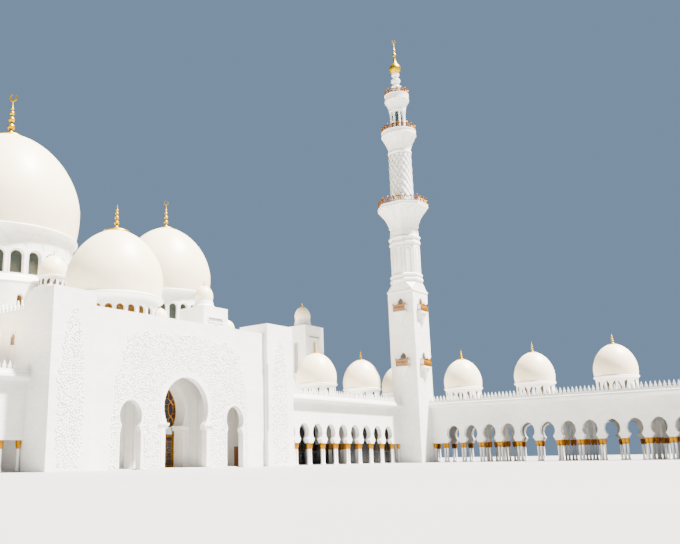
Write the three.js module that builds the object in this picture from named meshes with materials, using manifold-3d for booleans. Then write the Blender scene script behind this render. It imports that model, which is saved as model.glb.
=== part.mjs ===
// A white marble mosque at 1:10: domed prayer hall, entrance portal between two pylons,
// domed arcades on two sides of its courtyard, and the minaret at the corner between them.
//
// All sizes below are real metres. X runs to the right along the portal, Y into the building,
// Z up. The origin is on the ground in the middle of the central archway.

import * as THREE from 'three';
import { mergeVertices } from 'three/addons/utils/BufferGeometryUtils.js';
import Module from 'manifold-3d';

const wasm = await Module();
wasm.setup();

const MODEL_MM_PER_METRE = 100;
const GAP = 0.003;
const BELOW_GROUND = -1;

// Driving sizes, in real metres

const PORTAL = { half: 18.558, joint: 7.0, front: -0.5, back: 0.5, top: 23.06 };
const PYLON = { inner: 18.558, outer: 25.656, front: -1.337, back: 5.3, top: 24.871, wall: 0.9 };
const SLOT = { width: 0.22, depth: 0.35, bottom: 5.94, top: 17.6 };
const CENTRE_ARCH = {
  foot: 4.381, pinch: 4.0, wide: 4.72, footZ: 5.9, pinchZ: 6.6, wideZ: 9.2, apexZ: 14.04,
  lowerSteps: 3, upperSteps: 6,
};
const SIDE_ARCH = {
  foot: 1.94, pinch: 1.62, wide: 2.07, footZ: 5.5, pinchZ: 6.2, wideZ: 7.7, apexZ: 10.05,
  lowerSteps: 3, upperSteps: 4,
};
const SIDE_ARCH_X = 11.06;
const INNER_WALL = { front: 4.9, back: 7.5 };

const FLOOR_TOP = 0.15;
const SCREEN = { front: 7.1, back: 7.3, sill: 5.25, postInner: 4.2 };
const LEAF = { meeting: 0.03, edge: 4.12, front: 7.15, back: 7.25, bottom: 0.22, top: 5.17 };
const HINGE = { x: 4.16, y: 7.37, radius: 0.05, half: 0.12, heights: [0.9, 4.5] };

const FOYER = { side: 25.656, wall: 0.9, roofBottom: 21.6, roofTop: 22.5 };
const FOYER_WINDOW = { y: 8.2, half: 0.6, bottom: 17.5, top: 19.3 };
const HALL = { side: 66.6, front: 22.0, back: 80, wall: 1.0, roofBottom: 16.6, roofTop: 17.5 };
const HALL_PARAPET = { top: 18.2, wall: 0.35 };
const HALL_WINDOW = { half: 1.0, bottom: 6, top: 13, perSide: 4, atBack: 8 };
const CENTRAL_BLOCK = { half: 25.656, wall: 1.0, roofBottom: 24.3, roofTop: 25.2, joint: 41.5 };
const SIDE_PODIUM = { half: 13.4, wall: 1.0, roofBottom: 30.6, roofTop: 31.6 };
const SMALL_DOME = { rise: 1.21, blunt: 0.52 };
const PODIUM_DOME = { ...SMALL_DOME, radius: 1.9, widestZ: 33.9, fromMiddle: 11.4 };
const HALL_DOME_Y = 57.18;
const SIDE_DOME_X = 46.04;
const FOYER_DOME_Y = 18.57;

const TURRET = { size: 7.1, inner: 25.656, outer: 59.5, top: 32.45, wall: 0.7, wellRadius: 1.2 };
const TURRET_DOME = { ...SMALL_DOME, radius: 1.9, widestZ: 35.3, wall: 0.25 };
const AXIS_TURRET = {
  halfX: 2.65, front: 35.25, back: 40.4, y: 37.95, top: 34.4, wall: 0.5, wellRadius: 1.6,
};
const AXIS_DOME = { ...SMALL_DOME, radius: 2.8, widestZ: 37.5, wall: 0.3 };

const MAIN_DOME = {
  radius: 15.67, widestZ: 54.0, rise: 1.13, blunt: 0.56, wall: 0.8, capRadius: 2.7, tip: 82.0,
};
const SIDE_DOME = {
  radius: 11.73, widestZ: 46.9, rise: 1.17, blunt: 0.56, wall: 0.7, capRadius: 1.9, tip: 68.3,
};
const FOYER_DOME = {
  radius: 8.6, widestZ: 32.6, rise: 1.11, blunt: 0.56, wall: 0.6, capRadius: 2.3, tip: 47.1,
};

const DRUM_WINDOWS = 24;
const MAIN_BASE = {
  sides: 24, turn: -0.033, radius: 16.8, inner: 15.8, wallTop: 34.5, ledgeTop: 36.7,
};
const MAIN_DRUM = {
  inner: 13.2, radius: 14.2, cornice: 15.2, windowHalf: 1.1, windowBottom: 37.8, windowTop: 42.6,
  turn: -0.065,
};
const SIDE_DRUM = {
  inner: 9.9, radius: 10.8, cornice: 11.4, windowHalf: 0.8, windowBottom: 34.4, windowTop: 38.8,
  turn: 0,
};
const FOYER_DRUM = {
  inner: 7.1, radius: 7.8, foot: 8.1, cornice: 8.4, windowHalf: 0.6, windowBottom: 24.3, windowTop: 27.3,
  turn: 0,
};

const ARCADE = {
  pitch: 4.317, depth: 13.1, wall: 1.0, springZ: 4.2, wallTop: 12.17, roofTop: 12.9,
  overhang: 0.583, parapetTop: 13.5, parapetWall: 0.35, domeInset: 6.55, domeEvery: 4,
};
const ARCADE_DOME = { ...SMALL_DOME, radius: 4.3, widestZ: 18.2, wall: 0.3, wellRadius: 3.2 };
const ARCADE_ARCH = {
  foot: 1.5, pinch: 1.07, wide: 1.6, footZ: 4.3, pinchZ: 5.0, wideZ: 6.25, apexZ: 8.087,
  lowerSteps: 3, upperSteps: 3,
};
const BACK_ARCADE_ARCH = { ...ARCADE_ARCH, lowerSteps: 2, upperSteps: 2 };
const COLUMN = { offset: 0.33, shaft: 0.2, capital: 0.36, neckZ: 3.1, fromWall: 0.02 };
const WING = { front: 4.05, firstArch: 31.153, arches: 9, leftArches: 6, backArches: 13 };
const SIDE_ARCADE = { front: 76.055, firstArch: -6.412, arches: 12, backToCorner: 5, endMargin: 0.75 };
const CORNER_DOME_Y = 10.856;

const MINARET = { x: 74.191, y: 2.221, half: 3.378, squareTop: 39.54, wall: 0.9 };
const BOX_BALCONY = {
  half: 1.55, reach: 0.9, rail: 0.25, deckBottom: -0.4, railTop: 1.6, pendant: 3.6, levels: [34.45, 21.6],
};
const BALCONY_DOOR = { half: 0.75, height: 3.4 };
const OCTAGON_TOP = 55.3;
const ROUND_SHAFT = { inner: 1.9, radius: 2.8 };
const FIRST_BALCONY = { foot: 3.65, deck: 59.1, reach: 6.15, railTop: 62.6 };
const SECOND_BALCONY = { foot: 75.4, deck: 79.2, reach: 4.25, railTop: 82.0 };
const LANTERN = { inner: 1.4, radius: 2.2, sill: 82.2, head: 85.7, top: 86.4, ringRadius: 1.75, post: 0.28 };
const TOP_BALCONY = { deck: 90.0, reach: 3.0, railTop: 91.9, stemTop: 96.8 };

const WHITE_MARBLE = { color: 0xf2efe8, roughness: 0.45, metalness: 0 };
const GOLD = { color: 0xd9a336, roughness: 0.3, metalness: 1 };
const GLAZED_GILT = { color: 0x5a4a2a, roughness: 0.3, metalness: 0.5 };

// Shape tools

function solidOf(geometry) {
  geometry.deleteAttribute('normal');
  geometry.deleteAttribute('uv');
  const merged = mergeVertices(geometry, 1e-5);
  const corners = merged.index.array;
  const kept = [];
  for (let i = 0; i < corners.length; i += 3) {
    const [a, b, c] = [corners[i], corners[i + 1], corners[i + 2]];
    if (a !== b && b !== c && c !== a) kept.push(a, b, c);
  }
  const mesh = new wasm.Mesh({
    numProp: 3,
    vertProperties: new Float32Array(merged.attributes.position.array),
    triVerts: new Uint32Array(kept),
  });
  return new wasm.Manifold(mesh);
}

function join(solids) {
  return solids.reduce((whole, solid) => whole.add(solid));
}

function block([x0, x1], [y0, y1], [z0, z1]) {
  const box = new THREE.BoxGeometry(x1 - x0, y1 - y0, z1 - z0);
  box.translate((x0 + x1) / 2, (y0 + y1) / 2, (z0 + z1) / 2);
  return solidOf(box);
}

function extruded(outline, depth) {
  const shape = new THREE.Shape(outline.map(([a, b]) => new THREE.Vector2(a, b)));
  return new THREE.ExtrudeGeometry(shape, { depth, bevelEnabled: false });
}

// A wall drawn as its x, z outline, standing from y0 to y1
function wallAlongX(outline, [y0, y1], holes = []) {
  const wall = extruded(outline, y1 - y0);
  wall.rotateX(Math.PI / 2);
  wall.translate(0, y1, 0);
  return holes.reduce((rest, hole) => rest.subtract(wallAlongX(hole, [y0 - 1, y1 + 1])), solidOf(wall));
}

// A wall drawn as its y, z outline, standing from x0 to x1
function wallAlongY(outline, [x0, x1], holes = []) {
  const wall = extruded(outline, x1 - x0);
  wall.rotateX(Math.PI / 2);
  wall.rotateZ(Math.PI / 2);
  wall.translate(x0, 0, 0);
  return holes.reduce((rest, hole) => rest.subtract(wallAlongY(hole, [x0 - 1, x1 + 1])), solidOf(wall));
}

// A slab drawn as its x, y outline, from z0 to z1
function slab(outline, [z0, z1]) {
  const flat = extruded(outline, z1 - z0);
  flat.translate(0, 0, z0);
  return solidOf(flat);
}

// A radius, height profile turned about the upright line through x, y
function turned(profile, sides, [x, y] = [0, 0], turn = 0) {
  const points = profile.map(([r, z]) => new THREE.Vector2(r, z));
  const round = new THREE.LatheGeometry(points, sides);
  round.rotateX(Math.PI / 2);
  round.rotateZ(turn);
  round.translate(x, y, 0);
  return solidOf(round);
}

function drumOf(radius, [z0, z1], sides, centre, turn) {
  return turned([[0, z0], [radius, z0], [radius, z1], [0, z1]], sides, centre, turn);
}

function rectangle(a0, a1, b0, b1) {
  return [[a0, b0], [a1, b0], [a1, b1], [a0, b1]];
}

function mirrored(solid, side) {
  return side > 0 ? solid : solid.mirror([1, 0, 0]);
}

// Horseshoe arch about the line at x, from its left foot over the point to its right foot
function archLine(x, sill, arch) {
  const rise = arch.apexZ - arch.wideZ;
  const inset = (rise * rise - arch.wide * arch.wide) / (2 * arch.wide);
  const radius = arch.wide + inset;
  const full = Math.atan2(rise, inset);
  const below = Math.acos(arch.pinch / arch.wide);
  const stretch = (arch.wideZ - arch.pinchZ) / (arch.wide * Math.sin(below));
  const half = [
    [arch.foot, sill],
    [arch.foot, arch.footZ],
  ];
  for (let i = arch.lowerSteps; i >= 0; i -= 1) {
    const angle = (below * i) / arch.lowerSteps;
    half.push([arch.wide * Math.cos(angle), arch.wideZ - arch.wide * stretch * Math.sin(angle)]);
  }
  for (let i = 1; i < arch.upperSteps; i += 1) {
    const angle = (full * i) / arch.upperSteps;
    half.push([radius * Math.cos(angle) - inset, arch.wideZ + radius * Math.sin(angle)]);
  }
  const left = half.map(([dx, z]) => [x - dx, z]);
  return [...left, [x, arch.apexZ], ...half.reverse().map(([dx, z]) => [x + dx, z])];
}

// A wall from x0 to x1 and z0 to z1 with arches cut up through its foot
function archedWall([x0, x1], y, [z0, z1], arches) {
  return wallAlongX(rectangle(x0, x1, z0, z1), y, arches);
}

// Window with a plain pointed head
function windowOutline(centre, halfWidth, z0, z1) {
  const spring = z1 - halfWidth * 1.2;
  return [
    [centre - halfWidth, z0], [centre + halfWidth, z0], [centre + halfWidth, spring],
    [centre, z1], [centre - halfWidth, spring],
  ];
}

// Window cutters through a round wall, one every full turn / count, the first turned from the -Y side
function windowRing([x, y], count, outline, [inner, outer], turn) {
  const cutters = [];
  for (let i = 0; i < count; i += 1) {
    const cutter = extruded(outline, outer - inner);
    cutter.rotateX(Math.PI / 2);
    cutter.translate(0, -inner, 0);
    cutter.rotateZ((2 * Math.PI * i) / count + turn);
    cutter.translate(x, y, 0);
    cutters.push(solidOf(cutter));
  }
  return join(cutters);
}

const group = new THREE.Group();

function addPiece(name, solid, look = WHITE_MARBLE) {
  const { vertProperties, triVerts } = solid.getMesh();
  const geometry = new THREE.BufferGeometry();
  geometry.setAttribute('position', new THREE.BufferAttribute(new Float32Array(vertProperties), 3));
  geometry.setIndex(new THREE.BufferAttribute(new Uint32Array(triVerts), 1));
  geometry.scale(MODEL_MM_PER_METRE, MODEL_MM_PER_METRE, MODEL_MM_PER_METRE);
  geometry.computeVertexNormals();
  const mesh = new THREE.Mesh(geometry, new THREE.MeshStandardMaterial(look));
  mesh.name = name;
  group.add(mesh);
}

// Domes

// Outside of a dome below its widest ring, and the shares of its rise where its corners are above it
const BELOW_WIDEST = [[0.95, -0.44], [0.99, -0.22], [1, 0]];
const RISE_SHARES = [0.25, 0.51, 0.785, 0.95];
const DOME_SIDES = 24;
const SMALL_DOME_SIDES = 12;

// From the foot up, in shares of the dome's widest radius. The rise is that of its crown.
function domeCurve({ rise, blunt }) {
  const above = RISE_SHARES.map((share) => [(1 - share ** 1.8) ** blunt, share * rise]);
  return [...BELOW_WIDEST, ...above];
}

function everyOther(points) {
  return points.filter((point, i) => i % 2 === 0);
}

function domeFoot(dome) {
  return dome.widestZ + dome.radius * BELOW_WIDEST[0][1];
}

function domeApex(dome) {
  return dome.widestZ + dome.radius * dome.rise;
}

function domeShell(centre, dome) {
  const { radius, widestZ, wall } = dome;
  const curve = domeCurve(dome);
  const outside = curve.map(([r, h]) => [radius * r, widestZ + radius * h]);
  const inside = everyOther(curve).map(([r, h]) => [radius * r - wall, widestZ + radius * h]);
  const apex = domeApex(dome);
  return turned([[0, apex - wall], ...inside.reverse(), ...outside, [0, apex]], DOME_SIDES, centre);
}

// Gold finial: a shallow cap fitted over the crown of the dome, three beads and a spike
function finial(centre, dome, sides) {
  const apex = domeApex(dome);
  const height = dome.tip - apex;
  const bead = height * 0.085;
  const capEdge = apex - dome.capRadius * 0.2;
  const profile = [
    [0, capEdge - height * 0.1],
    [dome.capRadius, capEdge - height * 0.1],
    [dome.capRadius, capEdge],
    [bead, apex + height * 0.12],
    [bead * 0.5, apex + height * 0.2],
    [bead, apex + height * 0.3],
    [bead * 0.35, apex + height * 0.45],
    [bead * 0.7, apex + height * 0.58],
    [0, dome.tip],
  ];
  const grown = { ...dome, radius: dome.radius + GAP, widestZ: dome.widestZ + GAP };
  const body = domeCurve(dome).map(([r, h]) => [grown.radius * r, grown.widestZ + grown.radius * h]);
  const crown = [[0, body[0][1]], ...body, [0, domeApex(grown)]];
  return turned(profile, sides, centre).subtract(turned(crown, DOME_SIDES, centre));
}

// A turned wall with a window in each of its sides
function windowedDrum(profile, centre, drum) {
  const { inner, cornice, windowHalf, windowBottom, windowTop, turn } = drum;
  const outline = windowOutline(0, windowHalf, windowBottom, windowTop);
  const windows = windowRing(centre, DRUM_WINDOWS, outline, [inner - 1, cornice + 1], turn);
  return turned(profile, DRUM_WINDOWS, centre, Math.PI / DRUM_WINDOWS + turn).subtract(windows);
}

// Many-sided wall with a tall window in each side, and the windowed drum that it carries
function mainDrum() {
  const foot = CENTRAL_BLOCK.roofTop + GAP;
  const top = domeFoot(MAIN_DOME) - GAP;
  const centre = [0, HALL_DOME_Y];
  const { sides, turn, radius, inner, wallTop, ledgeTop } = MAIN_BASE;
  const wall = [
    [inner, foot], [radius, foot], [radius, wallTop], [radius - 0.3, wallTop + 0.9],
    [14.9, ledgeTop], [13.3, ledgeTop], [inner, 33.6], [inner, foot],
  ];
  const tallWindow = rectangle(-0.5, 0.5, 29.4, 32.9);
  const tallWindows = windowRing(centre, sides, tallWindow, [inner - 1, radius + 1], turn);
  const base = turned(wall, sides, centre, Math.PI / sides + turn).subtract(tallWindows);
  const drum = MAIN_DRUM;
  const profile = [
    [drum.inner, ledgeTop - 0.3], [drum.radius + 0.4, ledgeTop - 0.3],
    [drum.radius, 37.4], [drum.radius, 43.4],
    [drum.cornice, top - 0.55], [drum.cornice, top], [drum.inner, top], [drum.inner, ledgeTop - 0.3],
  ];
  return base.add(windowedDrum(profile, centre, drum));
}

// Square podium and the windowed drum that it carries
function sideDrum(side) {
  const { half, wall, roofBottom, roofTop } = SIDE_PODIUM;
  const drum = SIDE_DRUM;
  const foot = HALL.roofTop + GAP;
  const top = domeFoot(SIDE_DOME) - GAP;
  const [x, y] = [SIDE_DOME_X, HALL_DOME_Y];
  const inside = half - wall;
  const mass = block([x - half, x + half], [y - half, y + half], [foot, roofTop]);
  const room = block([x - inside, x + inside], [y - inside, y + inside], [foot - 1, roofBottom]);
  const turn = Math.PI / DRUM_WINDOWS;
  const well = drumOf(drum.inner, [roofBottom - 1, roofTop + 1], DRUM_WINDOWS, [x, y], turn);
  const profile = [
    [drum.inner, roofTop - 0.5], [12.6, roofTop - 0.5], [12.6, 32.0],
    [drum.radius, 34.0], [drum.radius, 39.2],
    [drum.cornice, top - 0.45], [drum.cornice, top], [drum.inner, top], [drum.inner, roofTop - 0.5],
  ];
  const shell = mass.subtract(room).subtract(well).add(windowedDrum(profile, [x, y], drum));
  const corners = [[-1, -1], [1, -1], [1, 1], [-1, 1]].map(([a, b]) => {
    const reach = PODIUM_DOME.fromMiddle;
    return solidDome([x + a * reach, y + b * reach], PODIUM_DOME, roofTop - 0.05);
  });
  return mirrored(join([shell, ...corners]), side);
}

function foyerDrum() {
  const drum = FOYER_DRUM;
  const top = domeFoot(FOYER_DOME) - GAP;
  const foot = FOYER.roofTop + GAP;
  const profile = [
    [drum.inner, foot], [drum.foot, foot], [drum.radius, 23.6], [drum.radius, 27.6],
    [drum.cornice, top - 0.3],
    [drum.cornice, top], [drum.inner, top], [drum.inner, foot],
  ];
  return windowedDrum(profile, [0, FOYER_DOME_Y], drum);
}

// A small dome with the round wall below it, open underneath
function smallDome(centre, dome, foot) {
  const { radius, widestZ, wall } = dome;
  const apex = domeApex(dome);
  const neck = radius * 0.88;
  const outside = everyOther(domeCurve(dome));
  const profile = [
    [0, apex - wall],
    [radius * 0.66 - wall, widestZ + radius * 0.8],
    [neck - wall, foot],
    [neck, foot],
    ...outside.map(([r, h]) => [radius * r, widestZ + radius * h]),
    [0, apex],
  ];
  return turned(profile, SMALL_DOME_SIDES, centre);
}

// A little ornamental dome, solid through
function solidDome(centre, dome, foot) {
  const { radius, widestZ } = dome;
  const outside = everyOther(domeCurve(dome));
  const profile = [
    [0, foot],
    [radius * 0.88, foot],
    ...outside.map(([r, h]) => [radius * r, widestZ + radius * h]),
    [0, domeApex(dome)],
  ];
  return turned(profile, SMALL_DOME_SIDES, centre);
}

// Entrance portal

// The middle of the portal wall, with the tall arch
function portalWall() {
  const arch = archLine(0, BELOW_GROUND, CENTRE_ARCH);
  const { joint, front, back, top } = PORTAL;
  return archedWall([-joint, joint], [front, back], [0, top], [arch]);
}

// One side of the portal wall, with its smaller arch
function portalSideWall(side) {
  const arch = archLine(SIDE_ARCH_X, BELOW_GROUND, SIDE_ARCH);
  const { joint, half, front, back, top } = PORTAL;
  return mirrored(archedWall([joint + GAP, half - GAP], [front, back], [0, top], [arch]), side);
}

function pylon(side) {
  const { inner, outer, front, back, top, wall } = PYLON;
  const mass = block([inner, outer], [front, back], [0, top]);
  const room = block([inner + wall, outer - wall], [front + wall, back - wall], [BELOW_GROUND, top - wall]);
  const { width, depth, bottom, top: slotTop } = SLOT;
  const slot = block([inner - 1, inner + width], [front - 1, front + depth], [bottom, slotTop]);
  return mirrored(mass.subtract(room).subtract(slot), side);
}

function innerWall() {
  const half = PORTAL.half - GAP;
  const foot = FLOOR_TOP + GAP;
  const arch = archLine(0, BELOW_GROUND, CENTRE_ARCH);
  const { front, back } = INNER_WALL;
  return archedWall([-half, half], [front, back], [foot, FOYER.roofBottom - GAP], [arch]);
}

function foyerSideWall(side) {
  const x = [FOYER.side - FOYER.wall, FOYER.side];
  const outline = rectangle(PYLON.back + GAP, HALL.front - GAP, 0, FOYER.roofTop);
  const { y, half, bottom, top } = FOYER_WINDOW;
  return mirrored(wallAlongY(outline, x, [windowOutline(y, half, bottom, top)]), side);
}

function foyerRoof() {
  const side = FOYER.side - FOYER.wall - GAP;
  const front = PYLON.back + GAP;
  const back = HALL.front - GAP;
  const half = PORTAL.half - GAP;
  const outline = [
    [-half, PORTAL.back + GAP], [half, PORTAL.back + GAP], [half, front], [side, front],
    [side, back], [-side, back], [-side, front], [-half, front],
  ];
  const { roofBottom, roofTop } = FOYER;
  const turn = Math.PI / DRUM_WINDOWS;
  const well = drumOf(FOYER_DRUM.inner, [roofBottom - 1, roofTop + 1], DRUM_WINDOWS, [0, FOYER_DOME_Y], turn);
  return slab(outline, [roofBottom, roofTop]).subtract(well);
}

function doorScreen() {
  const { front, back, sill, postInner } = SCREEN;
  const opening = archLine(0, FLOOR_TOP + GAP, CENTRE_ARCH);
  const inset = opening.map(([x, z]) => [x * (1 - GAP / CENTRE_ARCH.pinch), z < sill ? z : z - GAP]);
  const panel = wallAlongX(inset, [front, back]);
  const doorway = block([-postInner, postInner], [front - 1, back + 1], [0, sill]);
  const lugs = HINGE.heights.flatMap((z) => [1, -1].map((side) => mirrored(join([
    block([HINGE.x, HINGE.x + 0.12], [back - 0.01, HINGE.y + 0.04], [z - HINGE.half, z - GAP]),
    drumOf(HINGE.radius, [z - HINGE.half, z - GAP], 8, [HINGE.x, HINGE.y]),
  ]), side)));
  return join([panel.subtract(doorway), ...lugs]);
}

function doorLeaf(side) {
  const { meeting, edge, front, back, bottom, top } = LEAF;
  const panel = block([meeting, edge], [front, back], [bottom, top]);
  const knuckles = HINGE.heights.map((z) => join([
    block([HINGE.x - 0.14, HINGE.x - 0.02], [back - 0.01, HINGE.y + 0.04], [z, z + HINGE.half]),
    drumOf(HINGE.radius, [z, z + HINGE.half], 8, [HINGE.x, HINGE.y]),
  ]));
  return mirrored(join([panel, ...knuckles]), side);
}

// Prayer hall

function floorSlab() {
  const half = PORTAL.half - GAP;
  const foot = CENTRE_ARCH.foot - GAP;
  const foyerSide = FOYER.side - FOYER.wall - GAP;
  const hallSide = HALL.side - HALL.wall - GAP;
  const right = [
    [foot, PORTAL.front], [foot, PORTAL.back + GAP], [half, PORTAL.back + GAP], [half, PYLON.back + GAP],
    [foyerSide, PYLON.back + GAP], [foyerSide, HALL.front + HALL.wall + GAP],
    [hallSide, HALL.front + HALL.wall + GAP], [hallSide, HALL.back - HALL.wall - GAP],
  ];
  const left = right.map(([x, y]) => [-x, y]).reverse();
  return slab([...right, ...left], [0, FLOOR_TOP]);
}

// Front wall beside the entrance and the side wall, meeting at the corner
function hallWalls(side) {
  const { side: outer, front, back, wall, roofBottom } = HALL;
  const { half, bottom, top, perSide } = HALL_WINDOW;
  const [y0, y1] = [front + wall / 2, back - wall - GAP];
  const windows = [];
  for (let i = 0; i < perSide; i += 1) {
    windows.push(windowOutline(y0 + ((y1 - y0) * (i + 0.5)) / perSide, half, bottom, top));
  }
  const sideWall = wallAlongY(rectangle(y0, y1, 0, roofBottom - GAP), [outer - wall, outer], windows);
  const frontWall = block([FOYER.side - FOYER.wall, outer], [front, front + wall], [0, roofBottom - GAP]);
  return mirrored(sideWall.add(frontWall), side);
}

function hallBackWall() {
  const { side: half, back, wall, roofBottom } = HALL;
  const windows = [];
  for (let i = 0; i < HALL_WINDOW.atBack; i += 1) {
    const x = -half + (2 * half * (i + 0.5)) / HALL_WINDOW.atBack;
    windows.push(windowOutline(x, HALL_WINDOW.half, HALL_WINDOW.bottom, HALL_WINDOW.top));
  }
  return wallAlongX(rectangle(-half, half, 0, roofBottom - GAP), [back - wall, back], windows);
}

// Roof over one side of the hall, with its parapet and the two turrets that stand at its front
function hallRoof(side) {
  const { roofBottom, roofTop } = HALL;
  const { top, wall } = HALL_PARAPET;
  const x0 = CENTRAL_BLOCK.half + GAP;
  const plate = block([x0, HALL.side], [HALL.front, HALL.back], [roofBottom, roofTop]);
  const z = [roofTop - 0.01, top];
  const strips = [
    block([TURRET.inner + TURRET.size - 0.1, TURRET.outer + 0.1], [HALL.front, HALL.front + wall], z),
    block([HALL.side - wall, HALL.side], [HALL.front + TURRET.size - 0.1, HALL.back], z),
    block([x0, HALL.side], [HALL.back - wall, HALL.back], z),
  ];
  const reach = SIDE_PODIUM.half - SIDE_PODIUM.wall;
  const well = block(
    [SIDE_DOME_X - reach, SIDE_DOME_X + reach],
    [HALL_DOME_Y - reach, HALL_DOME_Y + reach],
    [roofBottom - 1, roofTop + 1],
  );
  const roof = join([plate, ...strips]).subtract(well);
  return mirrored(join([roof, turret(TURRET.inner + GAP), turret(TURRET.outer)]), side);
}

function turret(x0) {
  const { size, top, wall, wellRadius } = TURRET;
  const foot = HALL.roofTop - 0.1;
  const [x1, y0, y1] = [x0 + size, HALL.front, HALL.front + size];
  const middle = [x0 + size / 2, y0 + size / 2];
  const mass = block([x0, x1], [y0, y1], [foot, top]);
  const room = block([x0 + wall, x1 - wall], [y0 + wall, y1 - wall], [HALL.roofTop, top - wall]);
  const well = drumOf(wellRadius, [top - wall - 1, top + 0.3], SMALL_DOME_SIDES, middle);
  const sill = HALL.roofTop;
  const hatch = block([x1 - wall - 1.1, x1 - wall - 0.1], [y1 - wall - 0.1, y1 + 1], [sill, sill + 2]);
  const dome = smallDome(middle, TURRET_DOME, top - 0.05);
  return mass.subtract(room).add(dome).subtract(well).subtract(hatch);
}

// Raised middle of the hall: walls and roof between the given faces, open below
function centralShell([x0, x1], [y0, y1]) {
  const { half, wall, roofBottom, roofTop } = CENTRAL_BLOCK;
  const foot = HALL.roofBottom;
  const turn = Math.PI / DRUM_WINDOWS;
  const mass = block([x0, x1], [y0, y1], [foot, roofTop]);
  const inside = half - wall;
  const room = block([-inside, inside], [HALL.front + wall, HALL.back - wall], [foot - 1, roofBottom]);
  const heights = [roofBottom - 1, roofTop + 1];
  const mainWell = drumOf(MAIN_DRUM.inner, heights, DRUM_WINDOWS, [0, HALL_DOME_Y], turn);
  const foyerRadius = FOYER_DRUM.foot + GAP * 2;
  const foyerWell = drumOf(foyerRadius, [foot - 1, roofTop + 1], DRUM_WINDOWS, [0, FOYER_DOME_Y], turn);
  return mass.subtract(room).subtract(mainWell).subtract(foyerWell);
}

// Its front part, with the turret on the axis
function centralBlockFront() {
  const { half, joint } = CENTRAL_BLOCK;
  return centralShell([-half, half], [HALL.front, joint]).add(axisTurret()).subtract(axisTurretRoom());
}

// One half of the part below the main dome
function centralBlockHalf(side) {
  const { half, joint } = CENTRAL_BLOCK;
  return mirrored(centralShell([GAP / 2, half], [joint + GAP, HALL.back]), side);
}

function axisTurret() {
  const { halfX, front, back, y, top } = AXIS_TURRET;
  const mass = block([-halfX, halfX], [front, back], [CENTRAL_BLOCK.roofTop - 0.1, top]);
  return mass.add(smallDome([0, y], AXIS_DOME, top - 0.05));
}

function axisTurretRoom() {
  const { halfX, front, back, y, top, wall, wellRadius } = AXIS_TURRET;
  const below = CENTRAL_BLOCK.roofBottom - 1;
  const room = block([-halfX + wall, halfX - wall], [front + wall, back - wall], [below, top - wall]);
  return room.add(drumOf(wellRadius, [top - wall - 1, top + 0.3], SMALL_DOME_SIDES, [0, y]));
}

// Arcades, all drawn along X and then turned into place

function column(x, y) {
  const { shaft, capital, neckZ } = COLUMN;
  const top = ARCADE.springZ + 0.05;
  return turned([[0, 0], [shaft, 0], [shaft, neckZ], [capital, top], [0, top]], 5, [x, y]);
}

function archCentres(first, count) {
  return Array.from({ length: count }, (unused, i) => first + i * ARCADE.pitch);
}

// Where the columns of a row stand: a pair below each pier, and one by each end that meets a wall
function columnPlaces(centres, [startX, endX], ends) {
  const { pitch } = ARCADE;
  const { offset, capital } = COLUMN;
  const piers = [centres[0] - pitch / 2, ...centres.map((x) => x + pitch / 2)];
  const places = piers.flatMap((pier) => [pier - offset, pier + offset]);
  const inside = places.filter((x) => x - capital > startX && x + capital < endX);
  if (ends.includes('start')) inside.push(startX + capital + COLUMN.fromWall);
  if (ends.includes('end')) inside.push(endX - capital - COLUMN.fromWall);
  return inside;
}

// Arches over paired columns, from startX to endX, with the wall's face at front
function arcadeRow(centres, [startX, endX], front, ends, arch) {
  const { wall, springZ, wallTop } = ARCADE;
  const middle = front + wall / 2;
  const columns = columnPlaces(centres, [startX, endX], ends).map((x) => column(x, middle));
  const arches = centres.map((x) => archLine(x, BELOW_GROUND, arch));
  const arched = archedWall([startX, endX], [front, front + wall], [springZ, wallTop - GAP], arches);
  return join([arched, ...columns]);
}

// Roof slab with its cornice, low parapets and domes in one mass
function arcadeRoof([x0, x1], [y0, y1], domes) {
  const { wallTop, roofTop, overhang, parapetTop, parapetWall } = ARCADE;
  const [front, back] = [y0 - overhang, y1 + overhang];
  const z = [roofTop - 0.01, parapetTop];
  const solids = [
    block([x0, x1], [front, back], [wallTop, roofTop]),
    block([x0, x1], [front, front + parapetWall], z),
    block([x0, x1], [back - parapetWall, back], z),
  ];
  const well = [wallTop - 1, roofTop + 0.4];
  for (const centre of domes) solids.push(smallDome(centre, ARCADE_DOME, roofTop - 0.05));
  const wells = domes.map((centre) => drumOf(ARCADE_DOME.wellRadius, well, SMALL_DOME_SIDES, centre));
  return join(solids).subtract(join(wells));
}

function minaretFootprint() {
  const half = MINARET.half + GAP;
  const { x, y, squareTop } = MINARET;
  return block([x - half, x + half], [y - half, y + half], [BELOW_GROUND, squareTop]);
}

// One row of arches as several pieces, each with a few of the arches
function addArcade(name, make, centres, perPiece, [start, end], ends, turnIntoPlace) {
  const pieces = Math.ceil(centres.length / perPiece);
  for (let i = 0; i < pieces; i += 1) {
    const [isFirst, isLast] = [i === 0, i === pieces - 1];
    const part = centres.slice(i * perPiece, (i + 1) * perPiece);
    const from = isFirst ? start : part[0] - ARCADE.pitch / 2 + GAP;
    const to = isLast ? end : part[part.length - 1] + ARCADE.pitch / 2;
    const own = ends.filter((side) => (side === 'start' ? isFirst : isLast));
    addPiece(`${name}_${i + 1}`, turnIntoPlace(make(part, [from, to], own)));
  }
}

const WING_DEPTH = [WING.front, WING.front + ARCADE.depth];
const WING_START = FOYER.side + GAP;
const WING_BACK = WING.front + ARCADE.depth - ARCADE.wall;

function wingDomes(centres) {
  return centres.filter((x, i) => i % ARCADE.domeEvery === 0).map((x) => [x, WING.front + ARCADE.domeInset]);
}

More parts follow.
